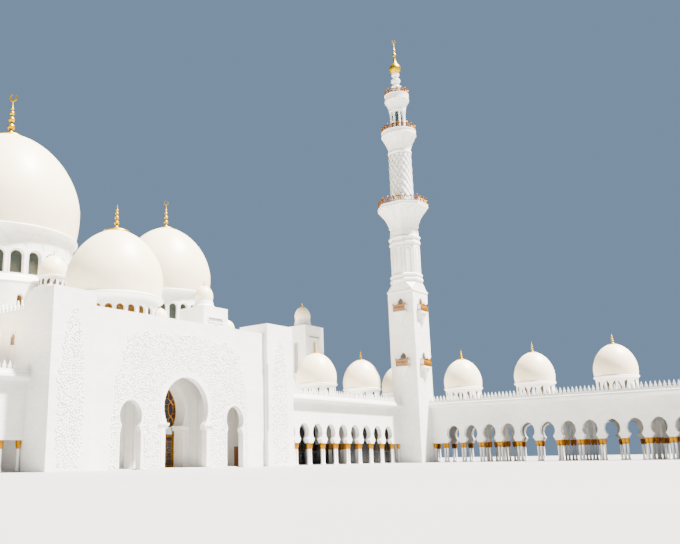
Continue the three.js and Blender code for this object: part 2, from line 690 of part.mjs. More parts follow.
function rightWing() {
  const centres = archCentres(WING.firstArch, WING.arches);
  const end = MINARET.x - MINARET.half - GAP;
  const roofEnd = SIDE_ARCADE.front - ARCADE.overhang - GAP;
  const backEnd = SIDE_ARCADE.front + ARCADE.depth - ARCADE.wall - GAP;
  const bothEnds = ['start', 'end'];
  const front = (part, span, ends) => arcadeRow(part, span, WING.front, ends, ARCADE_ARCH);
  addArcade('right_wing_front', front, centres, 3, [WING_START, end], bothEnds, (solid) => solid);
  const backCentres = archCentres(WING.firstArch, WING.backArches);
  const back = (part, span, ends) => arcadeRow(part, span, WING_BACK, ends, BACK_ARCADE_ARCH);
  addArcade('right_wing_back', back, backCentres, 5, [WING_START, backEnd], bothEnds, (solid) => solid);
  const roof = arcadeRoof([WING_START, roofEnd], WING_DEPTH, wingDomes(centres));
  addPiece('right_wing_roof', roof.subtract(minaretFootprint()));
}

function leftWing() {
  const centres = archCentres(WING.firstArch, WING.leftArches);
  const end = centres[centres.length - 1] + ARCADE.pitch / 2 + SIDE_ARCADE.endMargin;
  const closing = end + ARCADE.wall;
  const onTheLeft = (solid) => mirrored(solid, -1);
  const front = (part, span, ends) => arcadeRow(part, span, WING.front, ends, ARCADE_ARCH);
  addArcade('left_wing_front', front, centres, 3, [WING_START, end - GAP], ['start'], onTheLeft);
  const closingWall = block([end, closing], WING_DEPTH, [0, ARCADE.wallTop - GAP]);
  const back = arcadeRow(centres, [WING_START, closing], WING_BACK, ['start'], BACK_ARCADE_ARCH);
  addPiece('left_wing_back', onTheLeft(back.add(closingWall)));
  addPiece('left_wing_roof', onTheLeft(arcadeRoof([WING_START, closing], WING_DEPTH, wingDomes(centres))));
}

// The side arcade is drawn along X, with its front facing -Y, and turned so that it faces -X
function toSideArcade(solid) {
  return solid.rotate([0, 0, -90]).translate([SIDE_ARCADE.front, 0, 0]);
}

function sideArcade() {
  const { pitch, wall, depth, overhang, domeInset, domeEvery } = ARCADE;
  const centres = archCentres(-SIDE_ARCADE.firstArch, SIDE_ARCADE.arches);
  const last = centres[centres.length - 1] + pitch / 2 + SIDE_ARCADE.endMargin;
  const start = -(MINARET.y - MINARET.half) + GAP;
  const innerCorner = -(WING.front + depth);
  const rest = centres.filter((x, i) => i % domeEvery === 0).map((x) => [x, domeInset]);
  const domes = [[-CORNER_DOME_Y, domeInset], ...rest];
  const front = (part, span, ends) => arcadeRow(part, span, 0, ends, ARCADE_ARCH);
  addArcade('side_arcade_front', front, centres, 4, [start, last - GAP], ['start'], toSideArcade);
  const backStart = -SIDE_ARCADE.firstArch - SIDE_ARCADE.backToCorner * pitch;
  const backCentres = archCentres(backStart, SIDE_ARCADE.arches + SIDE_ARCADE.backToCorner);
  const back = (part, span, ends) => arcadeRow(part, span, depth - wall, ends, BACK_ARCADE_ARCH);
  const backSpan = [innerCorner + GAP, last - GAP];
  addArcade('side_arcade_back', back, backCentres, 6, backSpan, ['start'], toSideArcade);
  const closingWall = block([last, last + wall], [0, depth], [0, ARCADE.wallTop - GAP]);
  addPiece('side_arcade_end', toSideArcade(closingWall));
  const roof = toSideArcade(arcadeRoof([innerCorner - overhang, last + wall], [0, depth], domes));
  addPiece('side_arcade_roof', roof.subtract(minaretFootprint()));
}

// Minaret, from the ground up

function minaretTurned(profile, sides, turn = 0) {
  return turned(profile, sides, [MINARET.x, MINARET.y], turn);
}

function boxBalcony(level) {
  const { half, reach, rail, deckBottom, railTop, pendant } = BOX_BALCONY;
  const face = -MINARET.half;
  const inside = half - rail;
  const deck = block([-half, half], [face - reach, face + 0.1], [level + deckBottom, level + railTop]);
  const hollow = block([-inside, inside], [face - reach + rail, face], [level, level + railTop + 1]);
  const underside = level + deckBottom + 0.05;
  const corbel = [[0, level - pendant], [0.2, level - pendant], [reach, underside], [0, underside]];
  return deck.subtract(hollow).add(turned(corbel, 8, [0, face]));
}

function minaretShaft() {
  const { x, y, half, squareTop, wall } = MINARET;
  const inside = half - wall;
  let shaft = block([-half, half], [-half, half], [0, squareTop]);
  for (let quarter = 0; quarter < 4; quarter += 1) {
    for (const level of BOX_BALCONY.levels) shaft = shaft.add(boxBalcony(level).rotate([0, 0, 90 * quarter]));
  }
  shaft = shaft.subtract(block([-inside, inside], [-inside, inside], [BELOW_GROUND, squareTop - wall]));
  for (let quarter = 0; quarter < 4; quarter += 1) {
    for (const level of BOX_BALCONY.levels) {
      const outline = windowOutline(0, BALCONY_DOOR.half, level, level + BALCONY_DOOR.height);
      const doorway = wallAlongX(outline, [-half - 0.2, -inside + 0.1]);
      shaft = shaft.subtract(doorway.rotate([0, 0, 90 * quarter]));
    }
  }
  return shaft.translate([x, y, 0]);
}

// Eight-sided stage with broaches over the corners of the square shaft
function minaretOctagon() {
  const { x, y, half, squareTop } = MINARET;
  const inner = 2.6;
  const broachTop = 41.9;
  const corner = half / Math.cos(Math.PI / 8);
  const foot = squareTop + GAP;
  const stage = minaretTurned([
    [inner, foot], [corner, foot], [corner, 42.6], [corner + 0.2, 43.2], [corner, 43.8], [corner, 51.4],
    [corner + 0.25, 52], [corner - 0.1, 52.8], [corner, OCTAGON_TOP], [inner, OCTAGON_TOP], [inner, foot],
  ], 8, Math.PI / 8);
  const slope = [
    [inner, foot], [half * 2, foot], [half * Math.SQRT2, broachTop], [inner, broachTop], [inner, foot],
  ];
  const square = block([x - half, x + half], [y - half, y + half], [foot, broachTop + 1]);
  return stage.add(minaretTurned(slope, 4).intersect(square));
}

// Flaring eight-sided balcony with a solid rail, fitted around the shaft that passes through it
function firstBalcony() {
  const { foot: footRadius, deck, reach, railTop } = FIRST_BALCONY;
  const foot = OCTAGON_TOP + GAP;
  const core = ROUND_SHAFT.radius + GAP;
  const solid = minaretTurned([
    [0, foot], [footRadius, foot], [reach * 0.72, foot + (deck - foot) * 0.6], [reach, deck - 0.7],
    [reach, railTop], [reach - 0.3, railTop], [reach - 0.3, deck], [0, deck],
  ], 8, Math.PI / 8);
  return solid.subtract(minaretTurned([[0, foot - 1], [core, foot - 1], [core, railTop], [0, railTop]], 16));
}

// Round shaft, flaring at its head into the second balcony
function roundShaft() {
  const { inner, radius } = ROUND_SHAFT;
  const { foot: flare, deck, reach, railTop } = SECOND_BALCONY;
  const foot = OCTAGON_TOP + GAP;
  return minaretTurned([
    [inner, foot], [radius, foot], [radius - 0.05, flare], [reach - 0.45, deck - 0.9], [reach, deck - 0.7],
    [reach, railTop], [reach - 0.3, railTop], [reach - 0.3, deck], [inner, deck], [inner, foot],
  ], 16);
}

function minaretLantern() {
  const { inner, radius, sill, head, top, ringRadius, post } = LANTERN;
  const foot = SECOND_BALCONY.deck + GAP;
  const base = [[inner, foot], [radius, foot], [radius, sill], [inner, sill], [inner, foot]];
  const ring = [[inner, head], [radius - 0.1, head], [radius - 0.1, top], [inner, top], [inner, head]];
  const solids = [minaretTurned(base, 8, Math.PI / 8), minaretTurned(ring, 8, Math.PI / 8)];
  for (let i = 0; i < 8; i += 1) {
    const angle = (Math.PI / 4) * (i + 0.5);
    const at = [MINARET.x + ringRadius * Math.cos(angle), MINARET.y + ringRadius * Math.sin(angle)];
    solids.push(drumOf(post, [sill - 0.1, head + 0.1], 5, at));
  }
  return join(solids);
}

function topBalcony() {
  const { deck, reach, railTop, stemTop } = TOP_BALCONY;
  const foot = LANTERN.top + GAP;
  return minaretTurned([
    [0.6, foot], [2.1, foot], [reach, deck - 0.6], [reach, railTop], [reach - 0.25, railTop],
    [reach - 0.25, deck], [0.95, deck], [0.8, stemTop], [0.6, stemTop], [0.6, foot],
  ], 12);
}

function minaretFinial() {
  const foot = TOP_BALCONY.stemTop + GAP;
  return minaretTurned([
    [0, foot], [0.8, foot], [1.42, 98.2], [0.45, 100.6], [0.3, 102.2], [0.5, 103.1], [0.25, 104], [0, 106.6],
  ], 10);
}

function minaret() {
  addPiece('minaret_square_shaft', minaretShaft());
  addPiece('minaret_octagon', minaretOctagon());
  addPiece('minaret_first_balcony', firstBalcony());
  addPiece('minaret_round_shaft', roundShaft());
  addPiece('minaret_lantern', minaretLantern());
  addPiece('minaret_top_balcony', topBalcony());
  addPiece('minaret_finial', minaretFinial(), GOLD);
}

// All the pieces

addPiece('floor_slab', floorSlab());
addPiece('portal_wall', portalWall());
addPiece('left_portal_wall', portalSideWall(-1));
addPiece('right_portal_wall', portalSideWall(1));
addPiece('left_pylon', pylon(-1));
addPiece('right_pylon', pylon(1));
addPiece('inner_portal_wall', innerWall());
addPiece('door_screen', doorScreen(), GLAZED_GILT);
addPiece('left_door_leaf', doorLeaf(-1), GLAZED_GILT);
addPiece('right_door_leaf', doorLeaf(1), GLAZED_GILT);
addPiece('left_foyer_wall', foyerSideWall(-1));
addPiece('right_foyer_wall', foyerSideWall(1));
addPiece('foyer_roof', foyerRoof());
addPiece('foyer_drum', foyerDrum());
addPiece('foyer_dome', domeShell([0, FOYER_DOME_Y], FOYER_DOME));
addPiece('foyer_finial', finial([0, FOYER_DOME_Y], FOYER_DOME, 10), GOLD);

for (const [name, side] of [['left', -1], ['right', 1]]) {
  addPiece(`${name}_hall_walls`, hallWalls(side));
  addPiece(`${name}_hall_roof`, hallRoof(side));
  addPiece(`${name}_drum`, sideDrum(side));
  addPiece(`${name}_dome`, domeShell([side * SIDE_DOME_X, HALL_DOME_Y], SIDE_DOME));
  addPiece(`${name}_finial`, finial([side * SIDE_DOME_X, HALL_DOME_Y], SIDE_DOME, 10), GOLD);
}
addPiece('hall_back_wall', hallBackWall());
addPiece('central_block_front', centralBlockFront());
addPiece('left_central_block', centralBlockHalf(-1));
addPiece('right_central_block', centralBlockHalf(1));
addPiece('main_drum', mainDrum());
addPiece('main_dome', domeShell([0, HALL_DOME_Y], MAIN_DOME));
addPiece('main_finial', finial([0, HALL_DOME_Y], MAIN_DOME, 10), GOLD);

rightWing();
leftWing();
sideArcade();
minaret();

export default group;
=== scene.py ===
import math

import bmesh
import bpy
from mathutils import Matrix, Vector


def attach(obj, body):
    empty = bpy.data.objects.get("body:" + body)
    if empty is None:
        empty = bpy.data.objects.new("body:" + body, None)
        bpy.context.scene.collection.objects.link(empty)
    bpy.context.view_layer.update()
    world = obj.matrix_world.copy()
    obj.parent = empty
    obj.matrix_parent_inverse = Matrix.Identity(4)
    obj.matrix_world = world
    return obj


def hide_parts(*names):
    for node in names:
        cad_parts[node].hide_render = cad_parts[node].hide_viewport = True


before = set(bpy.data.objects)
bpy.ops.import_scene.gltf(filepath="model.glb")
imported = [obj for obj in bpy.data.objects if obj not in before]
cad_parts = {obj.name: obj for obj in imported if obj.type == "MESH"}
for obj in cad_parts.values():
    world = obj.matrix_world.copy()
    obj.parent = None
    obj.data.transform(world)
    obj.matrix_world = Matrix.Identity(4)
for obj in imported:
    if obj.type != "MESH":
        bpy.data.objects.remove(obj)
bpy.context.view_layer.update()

# Sizes are the real building's metres, and every mesh is scaled down to the 1:10 model at the end.
# X runs to the right along the portal, Y into the building, Z up, as in the part.

SCALE = 0.1
BODY = "building"
PIECES = {}

# Places that the part gives

PORTAL_FRONT = -0.5
PYLON_INNER, PYLON_OUTER = 18.558, 25.656
PYLON_FRONT = -1.337
SIDE_ARCH_X = 11.06
CENTRE_ARCH = {"foot": 4.381, "pinch": 4.0, "wide": 4.72, "foot_z": 5.9, "pinch_z": 6.6, "wide_z": 9.2,
               "apex": 14.04}
SIDE_ARCH = {"foot": 1.94, "pinch": 1.62, "wide": 2.07, "foot_z": 5.5, "pinch_z": 6.2, "wide_z": 7.7,
             "apex": 10.05}
BAY_ARCH = {"foot": 1.5, "pinch": 1.07, "wide": 1.6, "foot_z": 4.3, "pinch_z": 5.0, "wide_z": 6.25,
            "apex": 8.087}

HALL_FRONT, HALL_BACK, HALL_SIDE = 22.0, 80.0, 66.6
BLOCK_HALF, BLOCK_ROOF = 25.656, 25.2
FOYER_ROOF = 22.48
HALL_DOME_Y, SIDE_DOME_X, FOYER_DOME_Y = 57.18, 46.04, 18.57
TURRET_SIZE, TURRET_INNER, TURRET_OUTER, TURRET_TOP = 7.1, 25.656, 59.5, 32.45
PODIUM_HALF, PODIUM_FOOT, PODIUM_TOP = 13.4, 17.5, 31.6
AXIS_Y, AXIS_TOP = 37.95, 34.4

BAY = 4.317
ARCADE_DEPTH, ARCADE_WALL = 13.1, 1.0
ARCADE_WALL_TOP, ARCADE_ROOF, CORNICE_REACH, PARAPET_TOP = 12.17, 12.9, 0.583, 13.5
WING_FRONT, WING_FIRST, WING_ARCHES, LEFT_ARCHES = 4.05, 31.153, 9, 6
SIDE_FRONT, SIDE_FIRST, SIDE_ARCHES = 76.055, -6.412, 12
CORNER_DOME_Y = 10.856
COLUMN_OFFSET, COLUMN_REACH = 0.33, 0.38
DRUM_TURN = -0.065
BASE_TURN = -0.033

MINARET_X, MINARET_Y, MINARET_HALF = 74.191, 2.221, 3.378
MINARET_SQUARE_TOP = 39.54

# Where the door leaves turn, and the underside of the rail over them
HINGE_X, HINGE_Y = 4.16, 7.37
DOOR_HEAD = 5.27

DOME_FOOT = -0.42
SMALL_RISE = (1.21, 0.52)
MAIN_RISE, SIDE_RISE, FOYER_RISE = (1.13, 0.56), (1.17, 0.56), (1.11, 0.56)


# Colours and shader nodes

def rgb(hex_code):
    """An sRGB hex colour as the linear colour that shaders take."""
    parts = [int(hex_code[i:i + 2], 16) / 255 for i in (1, 3, 5)]
    linear = [c / 12.92 if c <= 0.04045 else ((c + 0.055) / 1.055) ** 2.4 for c in parts]
    return (*linear, 1.0)


def add(tree, kind, settings=None, inputs=None):
    """Adds a node with its settings, and links or sets its inputs."""
    node = tree.nodes.new(kind)
    for key, value in (settings or {}).items():
        setattr(node, key, value)
    for key, value in (inputs or {}).items():
        socket = node.inputs[key]
        if isinstance(value, bpy.types.NodeSocket):
            tree.links.new(value, socket)
        else:
            socket.default_value = value
    return node


def new_material(name):
    """A new node material with its tree and its shader."""
    material = bpy.data.materials.new(name)
    material.use_nodes = True
    tree = material.node_tree
    tree.nodes.clear()
    shader = add(tree, "ShaderNodeBsdfPrincipled")
    add(tree, "ShaderNodeOutputMaterial", inputs={"Surface": shader.outputs["BSDF"]})
    return material, tree, shader


def ramp(tree, factor, stops):
    """A colour ramp with the given (place, hex colour) stops."""
    node = add(tree, "ShaderNodeValToRGB", inputs={"Fac": factor})
    elements = node.color_ramp.elements
    while len(elements) < len(stops):
        elements.new(0.5)
    for element, (place, colour) in zip(elements, stops):
        element.position = place
        element.color = rgb(colour)
    return node.outputs["Color"]


def wall_plane(tree):
    """Runs along a wall's face, whichever way it turns, in one coordinate, with height as the other."""
    place = add(tree, "ShaderNodeTexCoord").outputs["Object"]
    axes = add(tree, "ShaderNodeSeparateXYZ", inputs={0: place})
    along = add(tree, "ShaderNodeMath", {"operation": "ADD"}, {0: axes.outputs["X"], 1: axes.outputs["Y"]})
    return place, add(
        tree, "ShaderNodeCombineXYZ", inputs={"X": along.outputs[0], "Y": axes.outputs["Z"]}
    ).outputs[0]


def marble_colour(tree, place, pale, vein, scale):
    """Soft grey clouds and thin veins, as in a white marble quarried for cladding."""
    clouds = add(
        tree, "ShaderNodeTexNoise", inputs={"Vector": place, "Scale": scale, "Detail": 6.0, "Roughness": 0.6}
    )
    bend = add(
        tree, "ShaderNodeMix", {"data_type": "VECTOR"},
        {"Factor": 0.12, "A": place, "B": clouds.outputs["Color"]},
    )
    veins = add(
        tree, "ShaderNodeTexWave", {"wave_type": "BANDS", "bands_direction": "DIAGONAL"},
        {"Vector": bend.outputs[1], "Scale": scale * 0.6, "Distortion": 9.0, "Detail": 4.0},
    )
    soft = ramp(tree, clouds.outputs["Fac"], [(0.3, vein), (0.62, pale)])
    thin = ramp(tree, veins.outputs["Fac"], [(0.0, vein), (0.06, pale)])
    return add(
        tree, "ShaderNodeMix", {"data_type": "RGBA", "blend_type": "MULTIPLY"},
        {"Factor": 0.35, "A": soft, "B": thin},
    ).outputs[2], clouds.outputs["Fac"]


def panelled_marble():
    """Honed white marble slabs, 1.2 m by 0.6 m on the real walls: faint joints and a soft sheen."""
    material, tree, shader = new_material("honed_marble_panels")
    place, plane = wall_plane(tree)
    colour, clouds = marble_colour(tree, place, "#F6F5F2", "#EAE8E4", 1.4)
    slabs = add(
        tree, "ShaderNodeTexBrick", {"offset": 0.5},
        {
            "Vector": plane, "Color1": rgb("#FFFFFF"), "Color2": rgb("#F8F6F2"), "Mortar": rgb("#D6D2CA"),
            "Scale": 1.0, "Mortar Size": 0.0008, "Brick Width": 0.12, "Row Height": 0.06,
        },
    )
    tinted = add(
        tree, "ShaderNodeMix", {"data_type": "RGBA", "blend_type": "MULTIPLY"},
        {"Factor": 0.8, "A": colour, "B": slabs.outputs["Color"]},
    )
    rough = add(
        tree, "ShaderNodeMapRange", inputs={"Value": clouds, "To Min": 0.34, "To Max": 0.5}
    )
    groove = add(
        tree, "ShaderNodeBump", {"invert": True},
        {"Strength": 0.4, "Distance": 0.0015, "Height": slabs.outputs["Fac"]},
    )
    tree.links.new(tinted.outputs[2], shader.inputs["Base Color"])
    tree.links.new(rough.outputs[0], shader.inputs["Roughness"])
    tree.links.new(groove.outputs[0], shader.inputs["Normal"])
    shader.inputs["IOR"].default_value = 1.5
    return material


def plain_marble(name, pale, vein, low, high, grain):
    """Marble without joints, as on mouldings and carved work. The grain roughens its highlights."""
    material, tree, shader = new_material(name)
    place = add(tree, "ShaderNodeTexCoord").outputs["Object"]
    colour, clouds = marble_colour(tree, place, pale, vein, 1.8)
    rough = add(tree, "ShaderNodeMapRange", inputs={"Value": clouds, "To Min": low, "To Max": high})
    grit = add(
        tree, "ShaderNodeTexNoise", inputs={"Vector": place, "Scale": 260.0, "Detail": 3.0}
    )
    bump = add(
        tree, "ShaderNodeBump", inputs={"Strength": grain, "Distance": 0.0006, "Height": grit.outputs["Fac"]}
    )
    tree.links.new(colour, shader.inputs["Base Color"])
    tree.links.new(rough.outputs[0], shader.inputs["Roughness"])
    tree.links.new(bump.outputs[0], shader.inputs["Normal"])
    shader.inputs["IOR"].default_value = 1.5
    return material


def dome_marble():
    """Small marble tiles laid in level courses over a dome: a smooth white skin with a warm cast."""
    material, tree, shader = new_material("dome_marble_tiles")
    place = add(tree, "ShaderNodeTexCoord").outputs["Object"]
    colour, clouds = marble_colour(tree, place, "#F8EDD4", "#EFE2C6", 1.2)
    axes = add(tree, "ShaderNodeSeparateXYZ", inputs={0: place})
    courses = add(
        tree, "ShaderNodeMath", {"operation": "PINGPONG"}, {0: axes.outputs["Z"], 1: 0.015}
    )
    joint = add(
        tree, "ShaderNodeMapRange", inputs={"Value": courses.outputs[0], "From Max": 0.0016}
    )
    bump = add(
        tree, "ShaderNodeBump", inputs={"Strength": 0.18, "Distance": 0.0008, "Height": joint.outputs[0]}
    )
    rough = add(tree, "ShaderNodeMapRange", inputs={"Value": clouds, "To Min": 0.38, "To Max": 0.52})
    tree.links.new(colour, shader.inputs["Base Color"])
    tree.links.new(rough.outputs[0], shader.inputs["Roughness"])
    tree.links.new(bump.outputs[0], shader.inputs["Normal"])
    shader.inputs["IOR"].default_value = 1.5
    return material


def gilded_metal(name, bright, deep, low, high, beads):
    """Gold over metal: bright where polished, deeper and rougher where the leaf has dulled."""
    material, tree, shader = new_material(name)
    place = add(tree, "ShaderNodeTexCoord").outputs["Object"]
    patches = add(
        tree, "ShaderNodeTexNoise", inputs={"Vector": place, "Scale": 40.0, "Detail": 4.0}
    )
    tiles = add(
        tree, "ShaderNodeTexVoronoi", {"feature": "DISTANCE_TO_EDGE"}, {"Vector": place, "Scale": beads}
    )
    bump = add(
        tree, "ShaderNodeBump",
        inputs={"Strength": 0.25, "Distance": 0.0006, "Height": tiles.outputs["Distance"]},
    )
    rough = add(
        tree, "ShaderNodeMapRange", inputs={"Value": patches.outputs["Fac"], "To Min": low, "To Max": high}
    )
    colour = ramp(tree, patches.outputs["Fac"], [(0.3, deep), (0.65, bright)])
    tree.links.new(colour, shader.inputs["Base Color"])
    tree.links.new(rough.outputs[0], shader.inputs["Roughness"])
    tree.links.new(bump.outputs[0], shader.inputs["Normal"])
    shader.inputs["Metallic"].default_value = 1.0
    return material


def leaded_glass(name, low, high):
    """Small panes of float glass over a dark room: a faint ripple and uneven tone from pane to pane."""
    material, tree, shader = new_material(name)
    place, plane = wall_plane(tree)
    panes = add(
        tree, "ShaderNodeTexVoronoi", inputs={"Vector": place, "Scale": 55.0}
    )
    tone = add(tree, "ShaderNodeSeparateColor", inputs={0: panes.outputs["Color"]})
    ripple = add(tree, "ShaderNodeTexNoise", inputs={"Vector": plane, "Scale": 30.0, "Detail": 2.0})
    bump = add(
        tree, "ShaderNodeBump", inputs={"Strength": 0.1, "Distance": 0.0005, "Height": ripple.outputs["Fac"]}
    )
    colour = ramp(tree, tone.outputs[0], [(0.0, low), (1.0, high)])
    rough = add(
        tree, "ShaderNodeMapRange", inputs={"Value": ripple.outputs["Fac"], "To Min": 0.05, "To Max": 0.2}
    )
    tree.links.new(colour, shader.inputs["Base Color"])
    tree.links.new(rough.outputs[0], shader.inputs["Roughness"])
    tree.links.new(bump.outputs[0], shader.inputs["Normal"])
    shader.inputs["IOR"].default_value = 1.52
    return material


def carved_timber():
    """Oiled hardwood of a side door: long grain, satin."""
    material, tree, shader = new_material("oiled_timber")
    place = add(tree, "ShaderNodeTexCoord").outputs["Object"]
    long = add(tree, "ShaderNodeMapping", inputs={"Vector": place, "Scale": (60.0, 60.0, 4.0)})
    grain = add(tree, "ShaderNodeTexNoise", inputs={"Vector": long.outputs[0], "Scale": 1.0, "Detail": 6.0})
    colour = ramp(tree, grain.outputs["Fac"], [(0.3, "#6E3B14"), (0.7, "#A8641F")])
    tree.links.new(colour, shader.inputs["Base Color"])
    shader.inputs["Roughness"].default_value = 0.4
    shader.inputs["IOR"].default_value = 1.5
    return material


def polished_floor():
    """Polished marble paving inside the building, in 1 m squares that mirror the walls a little."""
    material, tree, shader = new_material("polished_marble_floor")
    place = add(tree, "ShaderNodeTexCoord").outputs["Object"]
    colour, clouds = marble_colour(tree, place, "#EDEAE4", "#D8D4CC", 1.6)
    squares = add(
        tree, "ShaderNodeTexBrick", {"offset": 0.0},
        {
            "Vector": place, "Color1": rgb("#FFFFFF"), "Color2": rgb("#F3F0EA"), "Mortar": rgb("#A8A49C"),
            "Scale": 1.0, "Mortar Size": 0.0006, "Brick Width": 0.1, "Row Height": 0.1,
        },
    )
    tinted = add(
        tree, "ShaderNodeMix", {"data_type": "RGBA", "blend_type": "MULTIPLY"},
        {"Factor": 0.8, "A": colour, "B": squares.outputs["Color"]},
    )
    rough = add(tree, "ShaderNodeMapRange", inputs={"Value": clouds, "To Min": 0.12, "To Max": 0.25})
    tree.links.new(tinted.outputs[2], shader.inputs["Base Color"])
    tree.links.new(rough.outputs[0], shader.inputs["Roughness"])
    shader.inputs["IOR"].default_value = 1.5
    return material


def pale_studio_floor():
    """Matt pale floor under the model, with a slight unevenness so that it doesn't look cut out."""
    material, tree, shader = new_material("pale_studio_floor")
    place = add(tree, "ShaderNodeTexCoord").outputs["Object"]
    soft = add(tree, "ShaderNodeTexNoise", inputs={"Vector": place, "Scale": 0.4, "Detail": 2.0})
    tree.links.new(ramp(tree, soft.outputs["Fac"], [(0.3, "#A3A19D"), (0.7, "#A8A6A2")]),
                   shader.inputs["Base Color"])
    shader.inputs["Roughness"].default_value = 0.6
    return material


PANELS = panelled_marble()
MARBLE = plain_marble("honed_marble", "#F6F4F0", "#E6E3DE", 0.36, 0.5, 0.15)
CARVED = plain_marble("carved_marble", "#F7F5F1", "#E9E6E1", 0.45, 0.6, 0.3)
# Grey marble: inlay on the minaret's shaft lattice, and painted recess shade on the turrets' panels and
# niches
GREY_INLAY_AND_RECESS_SHADE = plain_marble("grey_inlay_and_painted_recess_shade", "#A9A6A0", "#94918B", 0.4, 0.55, 0.2)
# Marble greyed to paint the shade inside the arcades: on their cross walls, inner shafts and back walls
PAINTED_SHADE_MARBLE = plain_marble("grey_marble_painted_shade", "#BDBBB6", "#9F9D98", 0.45, 0.6, 0.2)
# Dark brown that paints the shade seen through the openings of the small domes' drums
DRUM_OPENING_SHADE = plain_marble("painted_shade_in_drum_openings", "#5C4B39", "#3D3126", 0.6, 0.8, 0.4)
DOME_MARBLE = dome_marble()
GOLD = gilded_metal("gold_mosaic", "#D6AC00", "#A88200", 0.36, 0.5, 190.0)
GILT = gilded_metal("gilded_capital", "#C08600", "#8E6000", 0.4, 0.55, 150.0)
BRONZE_GILT = gilded_metal("gilded_bronze_rail", "#B07410", "#7C4E0A", 0.35, 0.5, 120.0)
# A darker copy of the capitals' gilt, which paints the shade on the back and inner capitals
PAINTED_SHADE_GILT = gilded_metal("gilt_capital_painted_shade", "#8A5410", "#5E3608", 0.45, 0.6, 150.0)
TIMBER = carved_timber()
CAMES = gilded_metal("brass_cames", "#8A6E38", "#55421E", 0.45, 0.6, 200.0)
TEAL_GLASS = leaded_glass("leaded_teal_glass", "#20343A", "#3C5C62")
AMBER_GLASS = leaded_glass("leaded_amber_glass", "#4A2E0E", "#8A5E22")
DARK_GLASS = leaded_glass("smoked_glass", "#0C0E12", "#1B1E26")
PALE_GLASS = leaded_glass("pale_blue_glass", "#A9C4CC", "#C9DCE0")
FLOOR_MARBLE = polished_floor()
STUDIO = pale_studio_floor()


# Mesh tools. Shapes are (points, faces) pairs in real metres until they become a piece.

def mark_creases(bm, angle):
    """Makes edges sharper than the angle hard and the rest smooth."""
    for face in bm.faces:
        face.smooth = True
    for edge in bm.edges:
        if len(edge.link_faces) == 2:
            edge.smooth = edge.calc_face_angle(0.0) < angle
        else:
            edge.smooth = False


def sewn(shapes):
    """The shapes in one mesh at model scale. Points that fall together in a shape become one."""
    bm = bmesh.new()
    for points, faces in shapes:
        known, corners = {}, []
        for x, y, z in points:
            key = (round(x, 4), round(y, 4), round(z, 4))
            if key not in known:
                known[key] = bm.verts.new((x * SCALE, y * SCALE, z * SCALE))
            corners.append(known[key])
        for face in faces:
            loop = [corners[i] for i in face]
            loop = [v for i, v in enumerate(loop) if v is not loop[i - 1]]
            if len(loop) > 2:
                bm.faces.new(loop)
    return bm


def into_mesh(name, bm, crease):
    """A mesh of these faces, with normals outward and its sharp edges marked."""
    mesh = bpy.data.meshes.new(name)
    bmesh.ops.recalc_face_normals(bm, faces=bm.faces)
    mark_creases(bm, math.radians(crease))
    bm.to_mesh(mesh)
    bm.free()
    return mesh


def piece(name, shapes, material, body=BODY, replaces=(), crease=35):
    """Makes one object from its shapes and lets it ride on its body."""
    mesh = into_mesh(name, sewn(shapes), crease)
    return settle(bpy.data.objects.new(name, mesh), material, body, replaces)


def settle(thing, material, body=BODY, replaces=()):
    """Puts a finished object in the scene with its material and body, hides the parts it replaces and keeps
    it in PIECES.
    """
    if thing.name not in bpy.context.scene.collection.objects:
        bpy.context.scene.collection.objects.link(thing)
    thing.data.materials.clear()
    thing.data.materials.append(material)
    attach(thing, body)
    if replaces:
        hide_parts(*replaces)
    PIECES[thing.name] = thing
    return thing


def moved(shape, offset, turn=0.0):
    """A shape turned about the upright axis and then moved."""
    points, faces = shape
    c, s = math.cos(turn), math.sin(turn)
    ox, oy, oz = offset
    return [(x * c - y * s + ox, x * s + y * c + oy, z + oz) for x, y, z in points], faces


def flipped(shape):
    """The mirror image across X = 0, with its faces still pointing out."""
    points, faces = shape
    return [(-x, y, z) for x, y, z in points], [tuple(reversed(face)) for face in faces]


def box(x, y, z):
    """A box between two x, two y and two z values."""
    points = [(a, b, c) for a in x for b in y for c in z]
    faces = [(0, 1, 3, 2), (4, 6, 7, 5), (0, 4, 5, 1), (2, 3, 7, 6), (0, 2, 6, 4), (1, 5, 7, 3)]
    return points, faces


def lathe(profile, sides, centre=(0.0, 0.0), turn=0.0):
    """A closed profile of (radius, height) turned about an upright axis. It runs anticlockwise."""
    points, faces = [], []
    count = len(profile)
    for i in range(sides):
        angle = turn + 2 * math.pi * i / sides
        for r, z in profile:
            points.append((centre[0] + r * math.cos(angle), centre[1] + r * math.sin(angle), z))
    for i in range(sides):
        a, b = i * count, (i + 1) % sides * count
        for j in range(count):
            k = (j + 1) % count
            loop = [a + j, b + j, b + k, a + k]
            on_axis = [profile[j][0] < 1e-6, profile[k][0] < 1e-6]
            if all(on_axis):
                continue
            if on_axis[0]:
                loop = [a + j, b + k, a + k]
            if on_axis[1]:
                loop = [a + j, b + j, a + k]
            faces.append(tuple(loop))
    return points, faces


def prism(outline, y0, y1):
    """An x, z outline, anticlockwise as seen from -Y, standing from y0 to y1."""
    n = len(outline)
    points = [(x, y0, z) for x, z in outline] + [(x, y1, z) for x, z in outline]
    faces = [tuple(range(n)), tuple(range(2 * n - 1, n - 1, -1))]
    faces += [(i, i + n, (i + 1) % n + n, (i + 1) % n) for i in range(n)]
    return points, faces


def band(inner, outer, y0, y1):
    """A strip between two x, z lines of the same number of points, standing from y0 to y1."""
    n = len(inner)
    points = [(x, y, z) for y in (y0, y1) for line in (inner, outer) for x, z in line]
    faces = []
    for i in range(n - 1):
        a, b, c, d = i, i + n, i + 2 * n, i + 3 * n
        faces += [(a, a + 1, b + 1, b), (c, d, d + 1, c + 1), (a, c, c + 1, a + 1), (b, b + 1, d + 1, d)]
    faces += [(0, n, 3 * n, 2 * n), (n - 1, 3 * n - 1, 4 * n - 1, 2 * n - 1)]
    return points, faces


